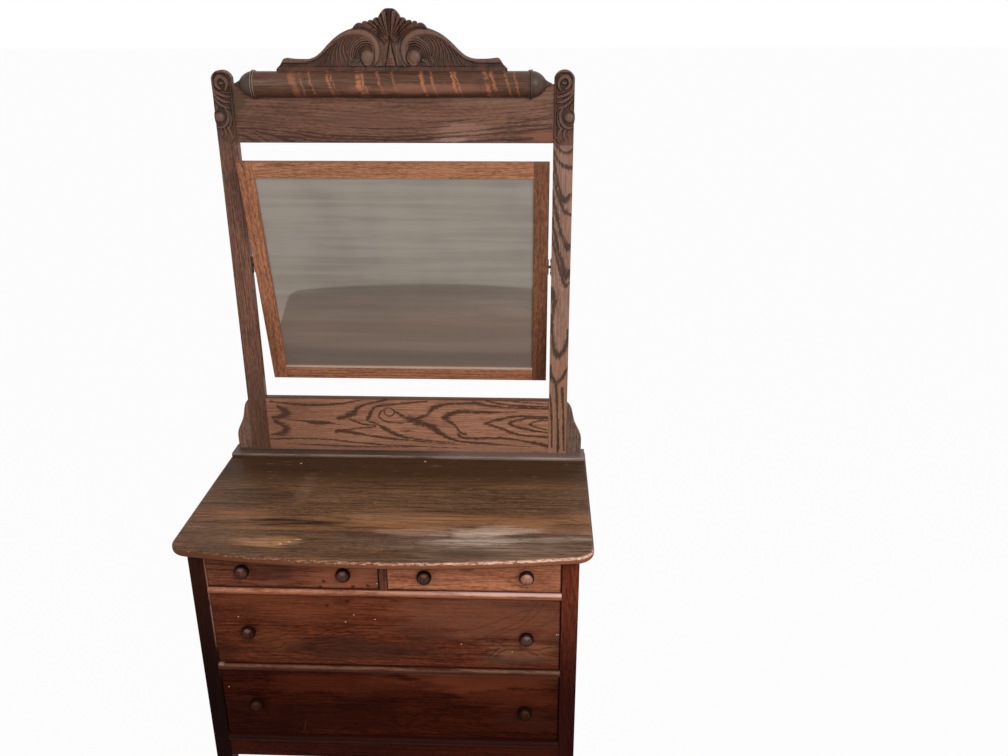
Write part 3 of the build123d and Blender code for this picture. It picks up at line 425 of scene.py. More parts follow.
top_wood.paint(tone(176, 140, 112), scratches, 0.4)
for (x, y), (wide, deep) in (
    ((-0.235, -0.262), (0.007, 0.0025)), ((-0.215, -0.25), (0.012, 0.002)),
    ((-0.255, -0.272), (0.004, 0.006)), ((0.056, 0.195), (0.004, 0.004)), ((-0.31, 0.17), (0.004, 0.004)),
):
    bare = top_wood.spot((x, y, top_high.z), (wide, deep, 0.01), 0.6)
    top_wood.paint(tone(214, 176, 140), bare)
edge = top_wood.span(top_wood.z, top_high.z - 0.0005, top_high.z - 0.004)
flaking = top_wood.noise(top_wood.board, (60.0, 300.0, 300.0), 6.0, 0.85)
more_to_the_right = 0.13
# pale chips along the rounded edge: worn finish and a painted highlight, more of both to the right
chips_and_highlight = top_wood.span(top_wood.calc("MULTIPLY_ADD", top_wood.x, more_to_the_right, flaking), 0.48, 0.58)
worn_and_lit_front = top_wood.times(top_wood.span(top_wood.x, -0.75, 0.40, 0.3, 1.0),
                         top_wood.span(top_wood.y, -0.23, -0.30))
top_wood.paint(tone(52, 30, 20), edge, 0.85)
top_wood.paint(tone(116, 70, 46), edge, worn_and_lit_front, 0.8)
top_wood.paint(tone(214, 174, 152), edge, chips_and_highlight, worn_and_lit_front)
# painted shade on the lower half of the rounded edge, lighter towards the right front
shaded_lower_half = top_wood.times(top_wood.span(top_wood.z, top_high.z - 0.006, top_high.z - 0.010), 0.9)
top_wood.paint(tone(62, 32, 20), shaded_lower_half)
top_wood.paint(tone(146, 86, 56), shaded_lower_half, worn_and_lit_front, 0.6)
# painted shade along the underside of the top
top_wood.paint(tone(40, 18, 12), top_wood.span(top_wood.z, top_low.z + 0.006, top_low.z + 0.002))
top_wood.onto("top")
steel = Finish("screw_steel")
steel.colour = steel.mix(steel.noise(steel.place, (900.0, 900.0, 900.0), 3.0), tone(128, 124, 118),
                         tone(84, 78, 72))
steel.shader.inputs["Metallic"].default_value = 1.0
steel.shader.inputs["Roughness"].default_value = 0.45
steel.onto("top_screws")

# ---------------------------------------------------------------- drawer fronts and boxes
#
# Each front is one board with the grain running across, cut so that it shows arches at the
# ends. The sides, back and bottom behind it are bare, lighter wood.

fronts = {
    "small_left": dict(
        heart=(0.66, -0.19), pale=tone(116, 67, 47), deep=tone(78, 40, 27), line=tone(44, 20, 13),
        slant=(0.02, 0.03),
        stains=(
            ((-0.285, 0.735), (0.085, 0.05), 0.55, tone(62, 30, 22)),
            ((-0.15, 0.700), (0.02, 0.008), 0.6, tone(50, 24, 16)),
            ((-0.045, 0.705), (0.02, 0.012), 0.7, tone(46, 20, 13)),
            ((-0.09, 0.735), (0.15, 0.07), 0.85, tone(142, 84, 60)),
        ),
        knots=((-0.079, 0.689), (-0.163, 0.686), (-0.153, 0.703), (-0.04, 0.692)),
        flecks=((-0.017, 0.699),),
    ),
    "small_right": dict(
        heart=(0.70, -0.20), pale=tone(176, 112, 82), deep=tone(134, 81, 57), line=tone(86, 44, 29),
        slant=(0.01, 0.02),
        stains=(
            ((0.215, 0.748), (0.03, 0.014), 0.6, tone(88, 46, 34)),
            ((0.42, 0.72), (0.04, 0.06), 0.35, tone(104, 60, 44)),
        ),
    ),
    "large_upper": dict(
        heart=(0.50, -0.17), pale=tone(102, 49, 29), deep=tone(62, 26, 13), line=tone(36, 15, 9),
        slant=(0.02, 0.05), swirls=((0.45, 0.66, 0.30, 0.10, 0.030),),
        stains=(
            ((0.30, 0.60), (0.35, 0.12), 0.35, tone(128, 82, 62)),
            ((-0.24, 0.63), (0.30, 0.07), 0.24, tone(126, 68, 44)),
            ((-0.45, 0.47), (0.08, 0.06), 0.60, tone(40, 16, 9)),
            ((0.45, 0.53), (0.05, 0.05), 0.40, tone(50, 30, 24)),
            ((-0.09, 0.490), (0.25, 0.050), 0.60, tone(42, 25, 19)),
            ((0.10, 0.55), (0.10, 0.05), 0.35, tone(50, 29, 22)),
            ((-0.11, 0.638), (0.03, 0.012), 0.6, tone(54, 28, 22)),
            ((0.36, 0.640), (0.12, 0.018), 0.5, tone(62, 42, 36)),
            ((0.34, 0.47), (0.14, 0.022), 0.55, tone(74, 54, 46)),
            ((-0.30, 0.52), (0.10, 0.05), 0.30, tone(118, 66, 38)),
            ((0.36, 0.505), (0.12, 0.035), 0.40, tone(132, 86, 62)),
        ),
        knots=((-0.096, 0.644), (-0.15, 0.63)),
        flecks=((-0.105, 0.579), (-0.082, 0.602), (-0.027, 0.589), (0.196, 0.517), (0.329, 0.496),
                (-0.386, 0.589), (0.449, 0.553), (0.444, 0.553)),
        # the heaviest lines of the figure: width, strength and the paths (x, z) they take
        lines=(
            (0.0060, 0.26, (
                ((0.18, 0.56), (0.24, 0.568), (0.285, 0.59), (0.37, 0.628)),
                ((0.23, 0.527), (0.284, 0.546), (0.34, 0.57), (0.38, 0.602), (0.412, 0.648)),
                ((0.262, 0.545), (0.306, 0.568), (0.351, 0.592), (0.395, 0.651)),
                ((0.377, 0.571), (0.421, 0.588), (0.439, 0.608), (0.449, 0.634)),
            )),
            (0.0050, 0.62, (
                ((0.262, 0.528), (0.284, 0.528), (0.306, 0.517), (0.351, 0.515)),
                ((0.261, 0.502), (0.28, 0.501), (0.297, 0.505)),
                ((0.284, 0.478), (0.295, 0.492), (0.314, 0.504), (0.366, 0.501), (0.396, 0.486)),
                ((0.267, 0.48), (0.282, 0.494), (0.292, 0.506)),
                ((0.351, 0.508), (0.396, 0.502), (0.418, 0.511), (0.449, 0.514)),
                ((0.348, 0.452), (0.378, 0.455), (0.404, 0.449), (0.449, 0.452)),
            )),
            (0.0046, 0.50, (
                ((-0.346, 0.532), (-0.317, 0.54), (-0.294, 0.544)),
                ((-0.334, 0.52), (-0.29, 0.526), (-0.264, 0.536)),
                ((-0.362, 0.507), (-0.332, 0.507), (-0.281, 0.521)),
                ((-0.337, 0.493), (-0.311, 0.487), (-0.283, 0.495), (-0.269, 0.509)),
                ((-0.246, 0.528), (-0.224, 0.521), (-0.201, 0.528)),
            )),
        ),
    ),
    "large_lower": dict(
        # darker than the fronts above: partly its own stain, partly painted shade towards the floor
        heart=(0.27, -0.18), pale=tone(60, 21, 10), deep=tone(32, 8, 3), line=tone(18, 4, 2),
        shine=0.01, slant=(0.03, 0.04),
        stains=(
            ((-0.05, 0.38), (0.40, 0.05), 0.45, tone(80, 34, 19)),
            ((0.24, 0.40), (0.32, 0.05), 0.48, tone(104, 52, 32)),
            ((0.33, 0.35), (0.20, 0.05), 0.35, tone(94, 44, 26)),
            ((-0.20, 0.27), (0.45, 0.07), 0.6, tone(32, 8, 5)),
            ((0.36, 0.27), (0.12, 0.05), 0.4, tone(60, 30, 22)),
        ),
        flecks=((-0.437, 0.360),),
    ),
}
for name, cut in fronts.items():
    low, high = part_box(f"{name}_front")
    front = oak(f"{name}_oak", "X", "Y", cut["heart"], cut["pale"], cut["deep"], cut["line"],
                slant=cut["slant"], ring=0.005, sway=0.022, gloss=0.34, shine=cut.get("shine", 0.03),
                seed=cut["heart"][0] * 7, swirls=cut.get("swirls", ()))
    for (x, z), (wide, tall), strength, colour in cut["stains"]:
        tint_patch = front.spot((x, low.y, z), (wide, 0.2, tall), 2.0, (7.0, 40.0, 40.0))
        front.paint(colour, tint_patch, strength)
    for width, strength, paths in cut.get("lines", ()):
        for path in paths:
            line = front.stroke([(x, low.y, z) for x, z in path], width)
            front.paint(tone(36, 17, 11), line, strength)
    for x, z in cut.get("knots", ()):
        knot = front.spot((x, low.y, z), (0.008, 0.02, 0.006), 0.8, (150.0, 150.0, 150.0))
        front.paint(tone(38, 15, 10), knot, 0.8)
    for x, z in cut.get("flecks", ()):
        fleck = front.spot((x, low.y, z), (0.0026, 0.02, 0.0019), 0.8, (300.0, 300.0, 300.0))
        front.paint(tone(196, 168, 148), fleck)
    if name == "large_lower":
        worn_top = front.times(front.span(front.z, high.z - 0.0065, high.z - 0.0045),
                               front.span(front.x, -0.15, 0.2))
        front.paint(tone(112, 76, 64), worn_top, front.span(front.cloud, 0.35, 0.6, 0.2, 0.6))
        scratch_path = ((-0.248, low.y, 0.207), (-0.241, low.y, 0.228), (-0.236, low.y, 0.253))
        scratch = front.stroke(scratch_path, 0.0006)
        front.paint(tone(120, 76, 60), scratch, 0.5)
    # painted shade in the gap along each front's foot, and a deeper painted shadow in the gap at its right
    # end
    front.paint(tone(34, 12, 8), front.span(front.z, low.z + 0.007, low.z), 0.6)
    front.paint(tone(20, 6, 4), front.span(front.x, high.x - 0.005, high.x - 0.001), 0.9)
    front.onto(f"{name}_front")

    box = oak(f"{name}_box_wood", "Y", "X", (low.z - 0.1, 0.3), tone(176, 144, 106), tone(142, 110, 78),
              tone(104, 76, 52), slant=(0.01, 0.03), figure=0.45, gloss=0.7, seed=low.z * 11)
    box.onto(f"{name}_box", f"{name}_bottom")

# ---------------------------------------------------------------- turned knobs
#
# Each knob is turned from one piece of wood: a narrow foot and neck, a mushroom head and a
# shallow dome. Each dome has a painted highlight above and painted shade below, and the
# rims and necks are painted near black.

knob_radius, knob_height, shank = 0.019, 0.030, 0.020
dome_radius, dome_start = 0.0156, 0.0196
knob_profile = [(-shank, 0.0), (-shank, 0.0045), (0.0, 0.0045), (0.0, 0.0088), (0.0010, 0.0090),
                (0.0020, 0.0082), (0.0030, 0.0080), (0.0042, 0.0096), (0.0054, 0.0132),
                (0.0064, 0.0164), (0.0078, 0.0184), (0.0094, knob_radius - 0.0001),
                (0.0130, knob_radius), (0.0164, knob_radius - 0.0002), (0.0180, knob_radius - 0.0008),
                (0.0190, knob_radius - 0.0018), (0.0191, dome_radius + 0.0008),
                (dome_start, dome_radius)]
knob_profile += [(dome_start + (knob_height - dome_start) * math.sin(t), dome_radius * math.cos(t))
                 for t in (math.radians(a) for a in range(10, 90, 8))] + [(knob_height, 0.0)]
# the wood's pale and deep tones, and the painted highlight on the left and the right dome
knob_tones = {
    "small_left": (tone(96, 60, 50), tone(64, 36, 29), tone(122, 92, 84), tone(136, 104, 94)),
    "small_right": (tone(80, 50, 41), tone(48, 27, 21), tone(128, 98, 90), tone(190, 144, 124)),
    "large_upper": (tone(66, 36, 25), tone(40, 19, 11), tone(118, 84, 74), tone(116, 94, 86)),
    "large_lower": (tone(54, 29, 15), tone(30, 14, 7), tone(74, 42, 32), tone(66, 42, 32)),
}
paler_right_knobs = {"small_right": (tone(156, 104, 86), 0.85), "large_upper": (tone(76, 53, 45), 0.7)}
for name, (pale, deep, *highlight_tones) in knob_tones.items():
    low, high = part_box(f"{name}_knobs")
    face_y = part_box(f"{name}_front")[0].y
    left_x, right_x = low.x + knob_radius, high.x - knob_radius
    upper_z, lower_z = high.z - knob_radius, low.z + knob_radius
    left_z, right_z = (lower_z, upper_z) if name == "small_right" else (upper_z, lower_z)
    knobs = turned(f"{name}_turned_knobs", knob_profile,
                   [(left_x, face_y, left_z), (right_x, face_y, right_z)], (0.0, -1.0, 0.0))
    wood = oak(f"{name}_knob_wood", "Z", "Y", (0.1, -0.3), pale, deep, tone(40, 24, 19), ring=0.003,
               figure=0.4, gloss=0.5, shine=0.0 if name == "large_lower" else 0.03, seed=low.z * 5)
    if name in paler_right_knobs:
        colour, strength = paler_right_knobs[name]
        wood.paint(colour, wood.span(wood.x, left_x + 0.1, right_x - 0.1), strength)
    head_y = face_y - knob_height
    for x, z, lightened in zip((left_x, right_x), (left_z, right_z), highlight_tones):
        # painted shade under each dome, and a painted highlight across its upper edge
        painted_shade_below = wood.spot((x, head_y, z - knob_radius), (0.026, 0.03, 0.023), 0.4, (90.0, 90.0, 90.0))
        wood.paint(tone(34, 18, 13), painted_shade_below, 0.6)
        painted_highlight_above = wood.spot((x + 0.002, head_y, z + 0.0145), (0.013, 0.03, 0.0065), 0.7,
                          (160.0, 160.0, 160.0))
        wood.paint(lightened, painted_highlight_above, 0.7)
    # the rim, head side and neck behind the dome are painted near black
    dark_behind_dome = wood.span(wood.y, face_y - dome_start - 0.0012, face_y - dome_start)
    wood.paint(tone(24, 11, 8), dark_behind_dome, 0.95)
    wood.onto(knobs.name)
    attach(knobs, f"{name}_drawer")
    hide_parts(f"{name}_knobs")

# ---------------------------------------------------------------- ledge
#
# A thin board across the back of the top that the posts stand through. Its front edge is
# eased, and dusting has worn it back to pale wood between darker, greyer stretches.

ledge_low, ledge_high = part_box("ledge")
ledge_wood = oak("ledge_oak", "X", "Z", (0.5, 0.7), tone(112, 92, 82), tone(74, 58, 50), tone(44, 31, 26),
                 slant=(0.01, 0.02), figure=0.6, gloss=0.42, shine=0.2, seed=4.4)
patchy = ledge_wood.span(ledge_wood.noise(ledge_wood.board, (5.0, 60.0, 60.0), 5.0, 0.75), 0.38, 0.62)
front_edge = ledge_wood.times(ledge_wood.span(ledge_wood.y, ledge_low.y + 0.007, ledge_low.y + 0.003),
                              patchy)
ledge_wood.paint(tone(150, 124, 108), front_edge, 0.75)
# painted shade along the foot of the ledge's front edge
shade_under_edge = ledge_wood.span(ledge_wood.z, ledge_low.z + 0.0045, ledge_low.z + 0.002)
ledge_wood.paint(tone(48, 32, 26), shade_under_edge, 0.8)
behind_edge = ledge_wood.span(ledge_wood.y, ledge_low.y + 0.010, ledge_low.y + 0.024)
ledge_wood.paint(tone(56, 42, 36), behind_edge, 0.5)
ledge_wood.paint(tone(58, 42, 34), ledge_wood.span(ledge_wood.x, 0.02, -0.10, 0.0, 0.35))
ledge_wood.paint(tone(146, 126, 120), ledge_wood.span(ledge_wood.x, 0.04, 0.16, 0.0, 0.30))
ledge_wood.onto("ledge")

# ---------------------------------------------------------------- mirror posts and scroll brackets
#
# Two flat posts, tenoned down through the ledge, with sawn brackets outside them at the foot.
# The left one is straight-grained, the right one flat-sawn with tall dark arches.

left_post = oak("left_mirror_post_oak", "Z", "Y", (-0.78, 0.30), tone(118, 80, 62), tone(80, 52, 40),
                tone(44, 26, 20), slant=(0.02, 0.01), ring=0.0060, figure=0.9, seed=0.8)
left_post.paint(tone(66, 42, 31), left_post.span(left_post.z, 1.3, 0.9), 0.45)
left_post.onto("mirror_post_left")


mm = 0.001


def smooth(points, steps=8):
    """Points on an even curve through all the given ones (any number of values each)."""
    p = np.array(points, dtype=float)
    p = np.vstack([2 * p[0] - p[1], p, 2 * p[-1] - p[-2]])
    t = np.linspace(0.0, 1.0, steps, endpoint=False)[:, None]
    runs = [0.5 * (2 * b + (c - a) * t + (2 * a - 5 * b + 4 * c - d) * t ** 2 + (3 * b - a - 3 * c + d)
                   * t ** 3) for a, b, c, d in zip(p, p[1:], p[2:], p[3:])]
    return np.vstack(runs + [p[-2]])


def held(share):
    """A share kept between nothing and the whole."""
    return np.clip(share, 0.0, 1.0)


def rib(x, z, path, steps=6):
    """1 along a curved path of (x, z, half width), falling to 0 at its half width."""
    best = np.zeros_like(x)
    line = smooth(path, steps)
    for (ax, az, aw), (bx, bz, bw) in zip(line, line[1:]):
        length = (bx - ax) ** 2 + (bz - az) ** 2
        t = held(((x - ax) * (bx - ax) + (z - az) * (bz - az)) / max(length, 1e-9))
        away = np.hypot(x - ax - t * (bx - ax), z - az - t * (bz - az)) / np.maximum(aw + t * (bw - aw),
                                                                                     0.1)
        best = np.maximum(best, 1.0 - away)
    return best


def round_top(share):
    """A rib's section as a half round, from its straight slope."""
    return np.sqrt(held(1.0 - (1.0 - share) ** 2))


def carved(name, x, z, proud, front, back, drawn):
    """A closed board, carved in front. x and z are a grid of stations and points, in millimetres.

    drawn is a number at each point of the grid, for the board's finish to read.
    """
    stations, points = x.shape
    face = np.stack([x, front / mm - proud, z], axis=-1).reshape(-1, 3)
    ends, back_face = [0, -1], np.full((stations, 2), back / mm)
    rear = np.stack([x[:, ends], back_face, z[:, ends]], axis=-1).reshape(-1, 3)
    at = np.arange(stations * points).reshape(stations, points)
    behind = stations * points + np.arange(stations * 2).reshape(stations, 2)
    corners = np.stack([at[:-1, :-1], at[1:, :-1], at[1:, 1:], at[:-1, 1:]], axis=-1)
    faces = corners.reshape(-1, 4).tolist()
    for i in range(stations - 1):
        faces.append((behind[i, 0], behind[i, 1], behind[i + 1, 1], behind[i + 1, 0]))
        faces.append((at[i, 0], behind[i, 0], behind[i + 1, 0], at[i + 1, 0]))
        faces.append((at[i, -1], at[i + 1, -1], behind[i + 1, 1], behind[i, 1]))
    for i in (0, stations - 1):
        faces.append([*at[i], behind[i, 1], behind[i, 0]])
    mesh = bpy.data.meshes.new(name)
    mesh.from_pydata((np.vstack([face, rear]) * mm).tolist(), [], faces)
    shape = bmesh.new()
    shape.from_mesh(mesh)
    bpy.data.meshes.remove(mesh)
    bmesh.ops.recalc_face_normals(shape, faces=shape.faces)
    piece = stand(name, shape, crease=60.0)
    kept = piece.data.attributes.new("drawn", "FLOAT", "POINT")
    values = np.concatenate([drawn.ravel(), np.zeros(stations * 2)])
    kept.data.foreach_set("value", values.astype(np.float32))
    return piece


def flames(wood, x, z, lines, colour, strength=0.92):
    """Paint bold dark late wood along the given lines, and say how near each point is to one."""
    near = np.zeros_like(x)
    for line in lines:
        near = np.maximum(near, rib(x, z, [(a, b, 2.2 * w + 1.4) for a, b, w in line]))
    read = wood.node("ShaderNodeAttribute", attribute_name="drawn").outputs["Fac"]
    toothed = wood.noise(wood.board, (60.0, 460.0, 460.0), 4.0, 0.75)
    broad = wood.noise(wood.board, (16.0, 70.0, 70.0), 3.0, 0.6)
    uneven = wood.calc("MULTIPLY_ADD", toothed, 2.4, broad)
    wood.paint(colour, wood.span(wood.calc("ADD", read, uneven), 2.10, 2.42), strength)
    return near


post_low, post_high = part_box("mirror_post_right")
tenon_low, tenon_half, head_rise = post_low.z / mm, 16.5, 20.0
post_half, post_middle = (post_high.x - post_low.x) / 2 / mm, (post_high.x + post_low.x) / 2 / mm
foot_z, head_z = ledge_high.z / mm, post_high.z / mm
head_steps = head_z - head_rise * (1 - np.sin(np.linspace(0.05, math.pi / 2, 14)))
stations = np.concatenate([[tenon_low, foot_z, foot_z],
                           np.linspace(foot_z + 2.0, head_z - head_rise, 480), head_steps])
head_radius = (post_half ** 2 + head_rise ** 2) / (2 * head_rise)
over = np.clip(stations - head_z + head_radius, 0.0, head_radius)
round_head = np.sqrt(np.clip(head_radius ** 2 - over ** 2, 1.0, None))
wide = np.where(stations > head_z - head_rise, round_head, post_half)
wide[:2] = tenon_half
share = np.linspace(-1.0, 1.0, 30)
x = post_middle + wide[:, None] * share[None, :]
z = np.repeat(stations[:, None], share.size, axis=1)
right_post = oak("right_mirror_post_oak", "Z", "Y", (0.36, 0.20), tone(152, 119, 104),
                 tone(118, 86, 70), tone(82, 60, 50), slant=(0.004, -0.03), ring=0.0050, sway=0.006,
                 figure=0.5, seed=2.9, teeth=0.9)
right_post.paint(tone(122, 86, 62), right_post.span(right_post.cloud, 0.42, 0.62), 0.5)
right_post.paint(tone(138, 96, 68), right_post.span(right_post.z, 1.22, 1.02), 0.55)
right_post.paint(tone(90, 64, 52), right_post.span(right_post.z, 1.66, 1.74), 0.5)
arches = (
    ((423, 1745, 3), (432, 1722, 4), (446, 1708, 5), (462, 1706, 4), (473, 1716, 2)),
    ((421, 1655, 2), (428, 1622, 3), (437, 1592, 3), (447, 1566, 4), (458, 1546, 5), (473, 1540, 3)),
    ((421, 1486, 2), (430, 1444, 3), (441, 1405, 3), (450, 1372, 3.5), (461, 1340, 5), (473, 1352, 2)),
    ((422, 1718, 2), (429, 1698, 3), (440, 1679, 4), (456, 1669, 6), (470, 1666, 4)),
    ((421, 1708, 2), (427, 1671, 3), (433, 1640, 3.5), (442, 1602, 5), (450, 1583, 9), (462, 1585, 8),
     (473, 1597, 4)),
    ((421, 1608, 3), (425, 1581, 4), (433, 1543, 4), (442, 1510, 4), (452, 1474, 5), (462, 1449, 8),
     (473, 1457, 4)),
    ((421, 1532, 3), (427, 1499, 4), (436, 1460, 4), (445, 1426, 5), (455, 1392, 6), (463, 1367, 8),
     (473, 1384, 3)),
    ((423, 1334, 5), (430, 1306, 8), (430, 1270, 6), (426, 1234, 4), (428, 1198, 4), (433, 1159, 6),
     (445, 1132, 9), (459, 1145, 6), (470, 1175, 4), (473, 1211, 3)),
    ((423, 1101, 3), (429, 1066, 4), (441, 1050, 7), (458, 1064, 4), (474, 1098, 2)),
    ((441, 1050, 5), (446, 962, 3), (450, 864, 3), (450, 822, 3)),
    ((459, 1032, 3), (464, 949, 2.5), (468, 830, 2.5)),
    ((425, 1010, 2), (430, 930, 2), (432, 840, 2)),
)
post_figure = flames(right_post, x, z, arches, tone(56, 41, 35))
mirror_post = carved("flamed_mirror_post", x, z, np.zeros_like(x), post_low.y, post_high.y, post_figure)
right_post.onto(mirror_post.name)
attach(mirror_post, "case")
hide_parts("mirror_post_right")
for side, heart, pale, deep in (("left", (-0.9, 0.2), tone(126, 94, 76), tone(88, 62, 49)),
                                ("right", (0.8, 0.22), tone(122, 96, 82), tone(86, 64, 54))):
    bracket = oak(f"{side}_bracket_oak", "Z", "Y", heart, pale, deep, tone(54, 37, 30),
                  slant=(0.02, 0.02), seed=heart[0])
    bracket.onto(f"bracket_{side}")

# ---------------------------------------------------------------- splat and upper rail
#
# Flat-sawn boards tenoned between the posts. The splat is the showpiece of the figure, with
# long flames and an island; the rail over the mirror is plainer and pinker.


def flamed_board(name, node, wood, lines, colour, strength=0.92):
    """A flat board between the posts, with its boldest grain along the given lines, in millimetres."""
    low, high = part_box(node)
    columns, rows = 440, 84
    x, z = np.meshgrid(np.linspace(low.x, high.x, columns) / mm, np.linspace(low.z, high.z, rows) / mm,
                       indexing="ij")
    drawn = flames(wood, x, z, lines, colour, strength)
    piece = carved(name, x, z, np.zeros_like(x), low.y, high.y, drawn)
    wood.onto(piece.name)
    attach(piece, "case")
    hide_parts(node)


splat_wood = oak("splat_oak", "X", "Y", (0.70, 0.10), tone(164, 116, 91), tone(126, 86, 66),
                 tone(84, 54, 42), slant=(0.0, 0.02), ring=0.0050, sway=0.009, figure=0.45, seed=5.2,
                 teeth=0.9)
splat_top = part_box("splat")[1].z
lower_part = splat_wood.times(splat_wood.span(splat_wood.z, 0.89, 0.83), 0.4)
splat_wood.paint(tone(106, 76, 62), lower_part)
splat_wood.paint(tone(98, 62, 45), splat_wood.span(splat_wood.x, -0.16, -0.34), 0.35)
splat_wood.paint(tone(56, 36, 28), splat_wood.span(splat_wood.z, splat_top - 0.007, splat_top - 0.003), 0.7)
flamed_board("flamed_splat", "splat", splat_wood, (
    ((-407, 977, 2), (-318, 968, 2.5), (-220, 970, 2.5), (-130, 986, 0.4)),
    ((-60, 987, 2), (-126, 970, 3), (-148, 958, 6), (-160, 943, 8), (-182, 932, 8), (-209, 925, 4)),
    ((-178, 925, 3), (-135, 907, 2.5), (-97, 901, 2.5), (-154, 892, 2.5), (-217, 883, 4)),
    ((-217, 883, 5), (-190, 883, 5), (-132, 872, 3), (-38, 859, 2.5), (150, 843, 0.3)),
    ((61, 984, 2), (-33, 973, 2.5), (-89, 965, 3), (-106, 951, 5), (-113, 933, 5.5), (-122, 919, 4)),
    ((-122, 919, 3), (-88, 905, 3), (-65, 890, 6), (-42, 877, 6), (9, 862, 3), (140, 849, 0.3)),
    ((-69, 956, 1.5), (-53, 961, 1.5), (-38, 951, 2), (-42, 939, 1.5), (-55, 934, 1.5), (-66, 941, 1.5),
     (-69, 956, 1.5)),
    ((-75, 952, 2), (-83, 941, 2.5), (-84, 931, 2), (-64, 917, 2), (-26, 913, 2), (12, 917, 2)),
    ((-38, 952, 2.5), (-18, 936, 4.5), (8, 926, 8), (30, 918, 12), (50, 911, 8)),
    ((31, 927, 6), (57, 939, 5), (69, 952, 6), (88, 966, 7), (125, 976, 4), (200, 980, 5)),
    ((200, 980, 5), (246, 972, 3.5), (315, 966, 2.5), (421, 964, 2)),
    ((49, 912, 5), (76, 898, 10), (104, 876, 6), (151, 856, 3), (245, 847, 2.5), (372, 838, 0.3)),
    ((334, 953, 0.4), (246, 951, 3), (167, 952, 5), (129, 943, 6), (112, 929, 8)),
    ((112, 929, 7), (140, 908, 4), (160, 882, 3.5), (175, 879, 3)),
    ((151, 878, 3), (174, 865, 3), (292, 866, 2.5), (423, 843, 2.5)),
    ((417, 938, 2), (338, 939, 3), (278, 929, 4), (231, 914, 4)),
    ((231, 914, 4), (282, 898, 4), (338, 878, 3.5), (418, 872, 2.5)),
    ((417, 933, 2), (357, 932, 2.5), (306, 917, 4), (338, 901, 3.5), (418, 886, 2.5)),
    ((417, 927, 2), (385, 923, 2), (366, 914, 3), (385, 904, 2.5), (418, 895, 2)),
    ((237, 988, 2), (273, 979, 2.5), (338, 972, 2.5), (421, 971, 2)),
    ((292, 988, 0.6), (361, 983, 2), (421, 980, 2)),
    ((-385, 960, 5), (-362, 944, 11), (-369, 932, 9), (-405, 924, 4)),
    ((-401, 914, 5), (-383, 904, 5), (-367, 890, 11), (-374, 878, 9), (-415, 868, 3)),
    ((-304, 912, 3), (-272, 908, 6), (-234, 910, 3)),
    ((-361, 917, 0.4), (-330, 916, 1.5), (-304, 913, 2)),
    ((-234, 908, 2), (-188, 902, 0.3)),
    ((-419, 854, 2), (-276, 856, 2), (-86, 840, 2), (150, 832, 0.3)),
    ((-372, 839, 0.3), (-182, 833, 2), (0, 832, 0.3)),
    ((-22, 886, 0.4), (0, 886, 2), (20, 885, 0.4)),
    ((376, 853, 4), (421, 842, 6)),
), tone(64, 42, 33))

upper_rail = oak("upper_rail_oak", "X", "Y", (2.00, 0.12), tone(110, 75, 59), tone(80, 52, 39),
                 tone(46, 28, 21), slant=(0.0, 0.0), ring=0.0062, sway=0.012, figure=0.75, seed=9.1,
                 swirls=((0.06, 1.74, 0.42, 0.12, -0.034),))
rail_face, spot_depth = 0.248, 0.012
for (x, z), (wide, tall), strength, colour in (
    ((-0.43, 1.83), (0.055, 0.07), 0.75, tone(62, 46, 34)),
    ((-0.21, 1.862), (0.17, 0.022), 0.55, tone(132, 84, 56)),
    ((0.26, 1.85), (0.2, 0.04), 0.3, tone(132, 102, 84)),
    ((0.395, 1.746), (0.07, 0.022), 0.55, tone(126, 78, 57)),
    ((0.18, 1.758), (0.11, 0.03), 0.40, tone(150, 112, 98)),
    ((-0.08, 1.787), (0.17, 0.035), 0.50, tone(84, 56, 46)),
    # a painted sheen
    ((0.16, 1.738), (0.08, 0.009), 0.35, tone(170, 134, 122)),
):
    tint_patch = upper_rail.spot((x, rail_face, z), (wide, spot_depth, tall), 1.2)
    upper_rail.paint(colour, tint_patch, strength)
flamed_board("grained_upper_rail", "upper_rail", upper_rail, (
    ((-301, 1761, 1.2), (-257, 1754, 1.8), (-226, 1746, 2.2), (-182, 1742, 2), (-92, 1740, 1.8),
     (14, 1737.5, 1.8), (90, 1742, 2.2), (135, 1746, 2), (201, 1749, 1.6), (267, 1755, 1.6),
     (333, 1760, 1.6), (377, 1765, 2), (416, 1769, 1.4)),
    ((-258, 1761, 1.2), (-214, 1755, 1.8), (-181, 1750, 2), (-136, 1748, 1.4), (-47, 1746, 1.2),
     (2, 1745.5, 1.6), (46, 1748, 1.6), (90, 1752, 1.4), (135, 1755, 1.2), (190, 1760, 1.2),
     (245, 1765, 1.4), (311, 1772, 1.4), (416, 1779, 1.2)),
    ((-360, 1754, 1.2), (-326, 1750, 2), (-293, 1746, 2.2), (-258, 1744, 2), (-227, 1737, 1.6),
     (-182, 1733, 1.8), (-93, 1732, 1.4), (14, 1731, 1.2), (156, 1731, 1.2), (190, 1734, 1.8),
     (234, 1737, 1.8), (278, 1740, 1.4), (322, 1738, 3), (368, 1743, 1.6)),
    ((-370, 1761, 1.2), (-337, 1752, 2), (-309, 1744, 2.4), (-290, 1737, 2.2), (-267, 1733, 1.6)),
    ((-416, 1750, 2), (-399, 1746, 2.2), (-384, 1737, 2.4), (-362, 1731, 2)),
    ((-382, 1759, 1), (-360, 1746, 1.6), (-339, 1735, 1.8)),
    ((-412, 1767, 1), (-370, 1766, 1.2), (-314, 1762, 1)),
    ((322, 1790, 0.8), (366, 1792, 1.2), (416, 1800, 1)),
    ((289, 1779, 0.8), (355, 1786, 1.2), (416, 1794, 1)),
    ((70, 1783, 0.7), (136, 1785, 1), (202, 1790, 0.7)),
    ((-120, 1770, 0.7), (-40, 1767, 1), (60, 1768, 1), (150, 1774, 0.7)),
), tone(46, 28, 23), 0.8)

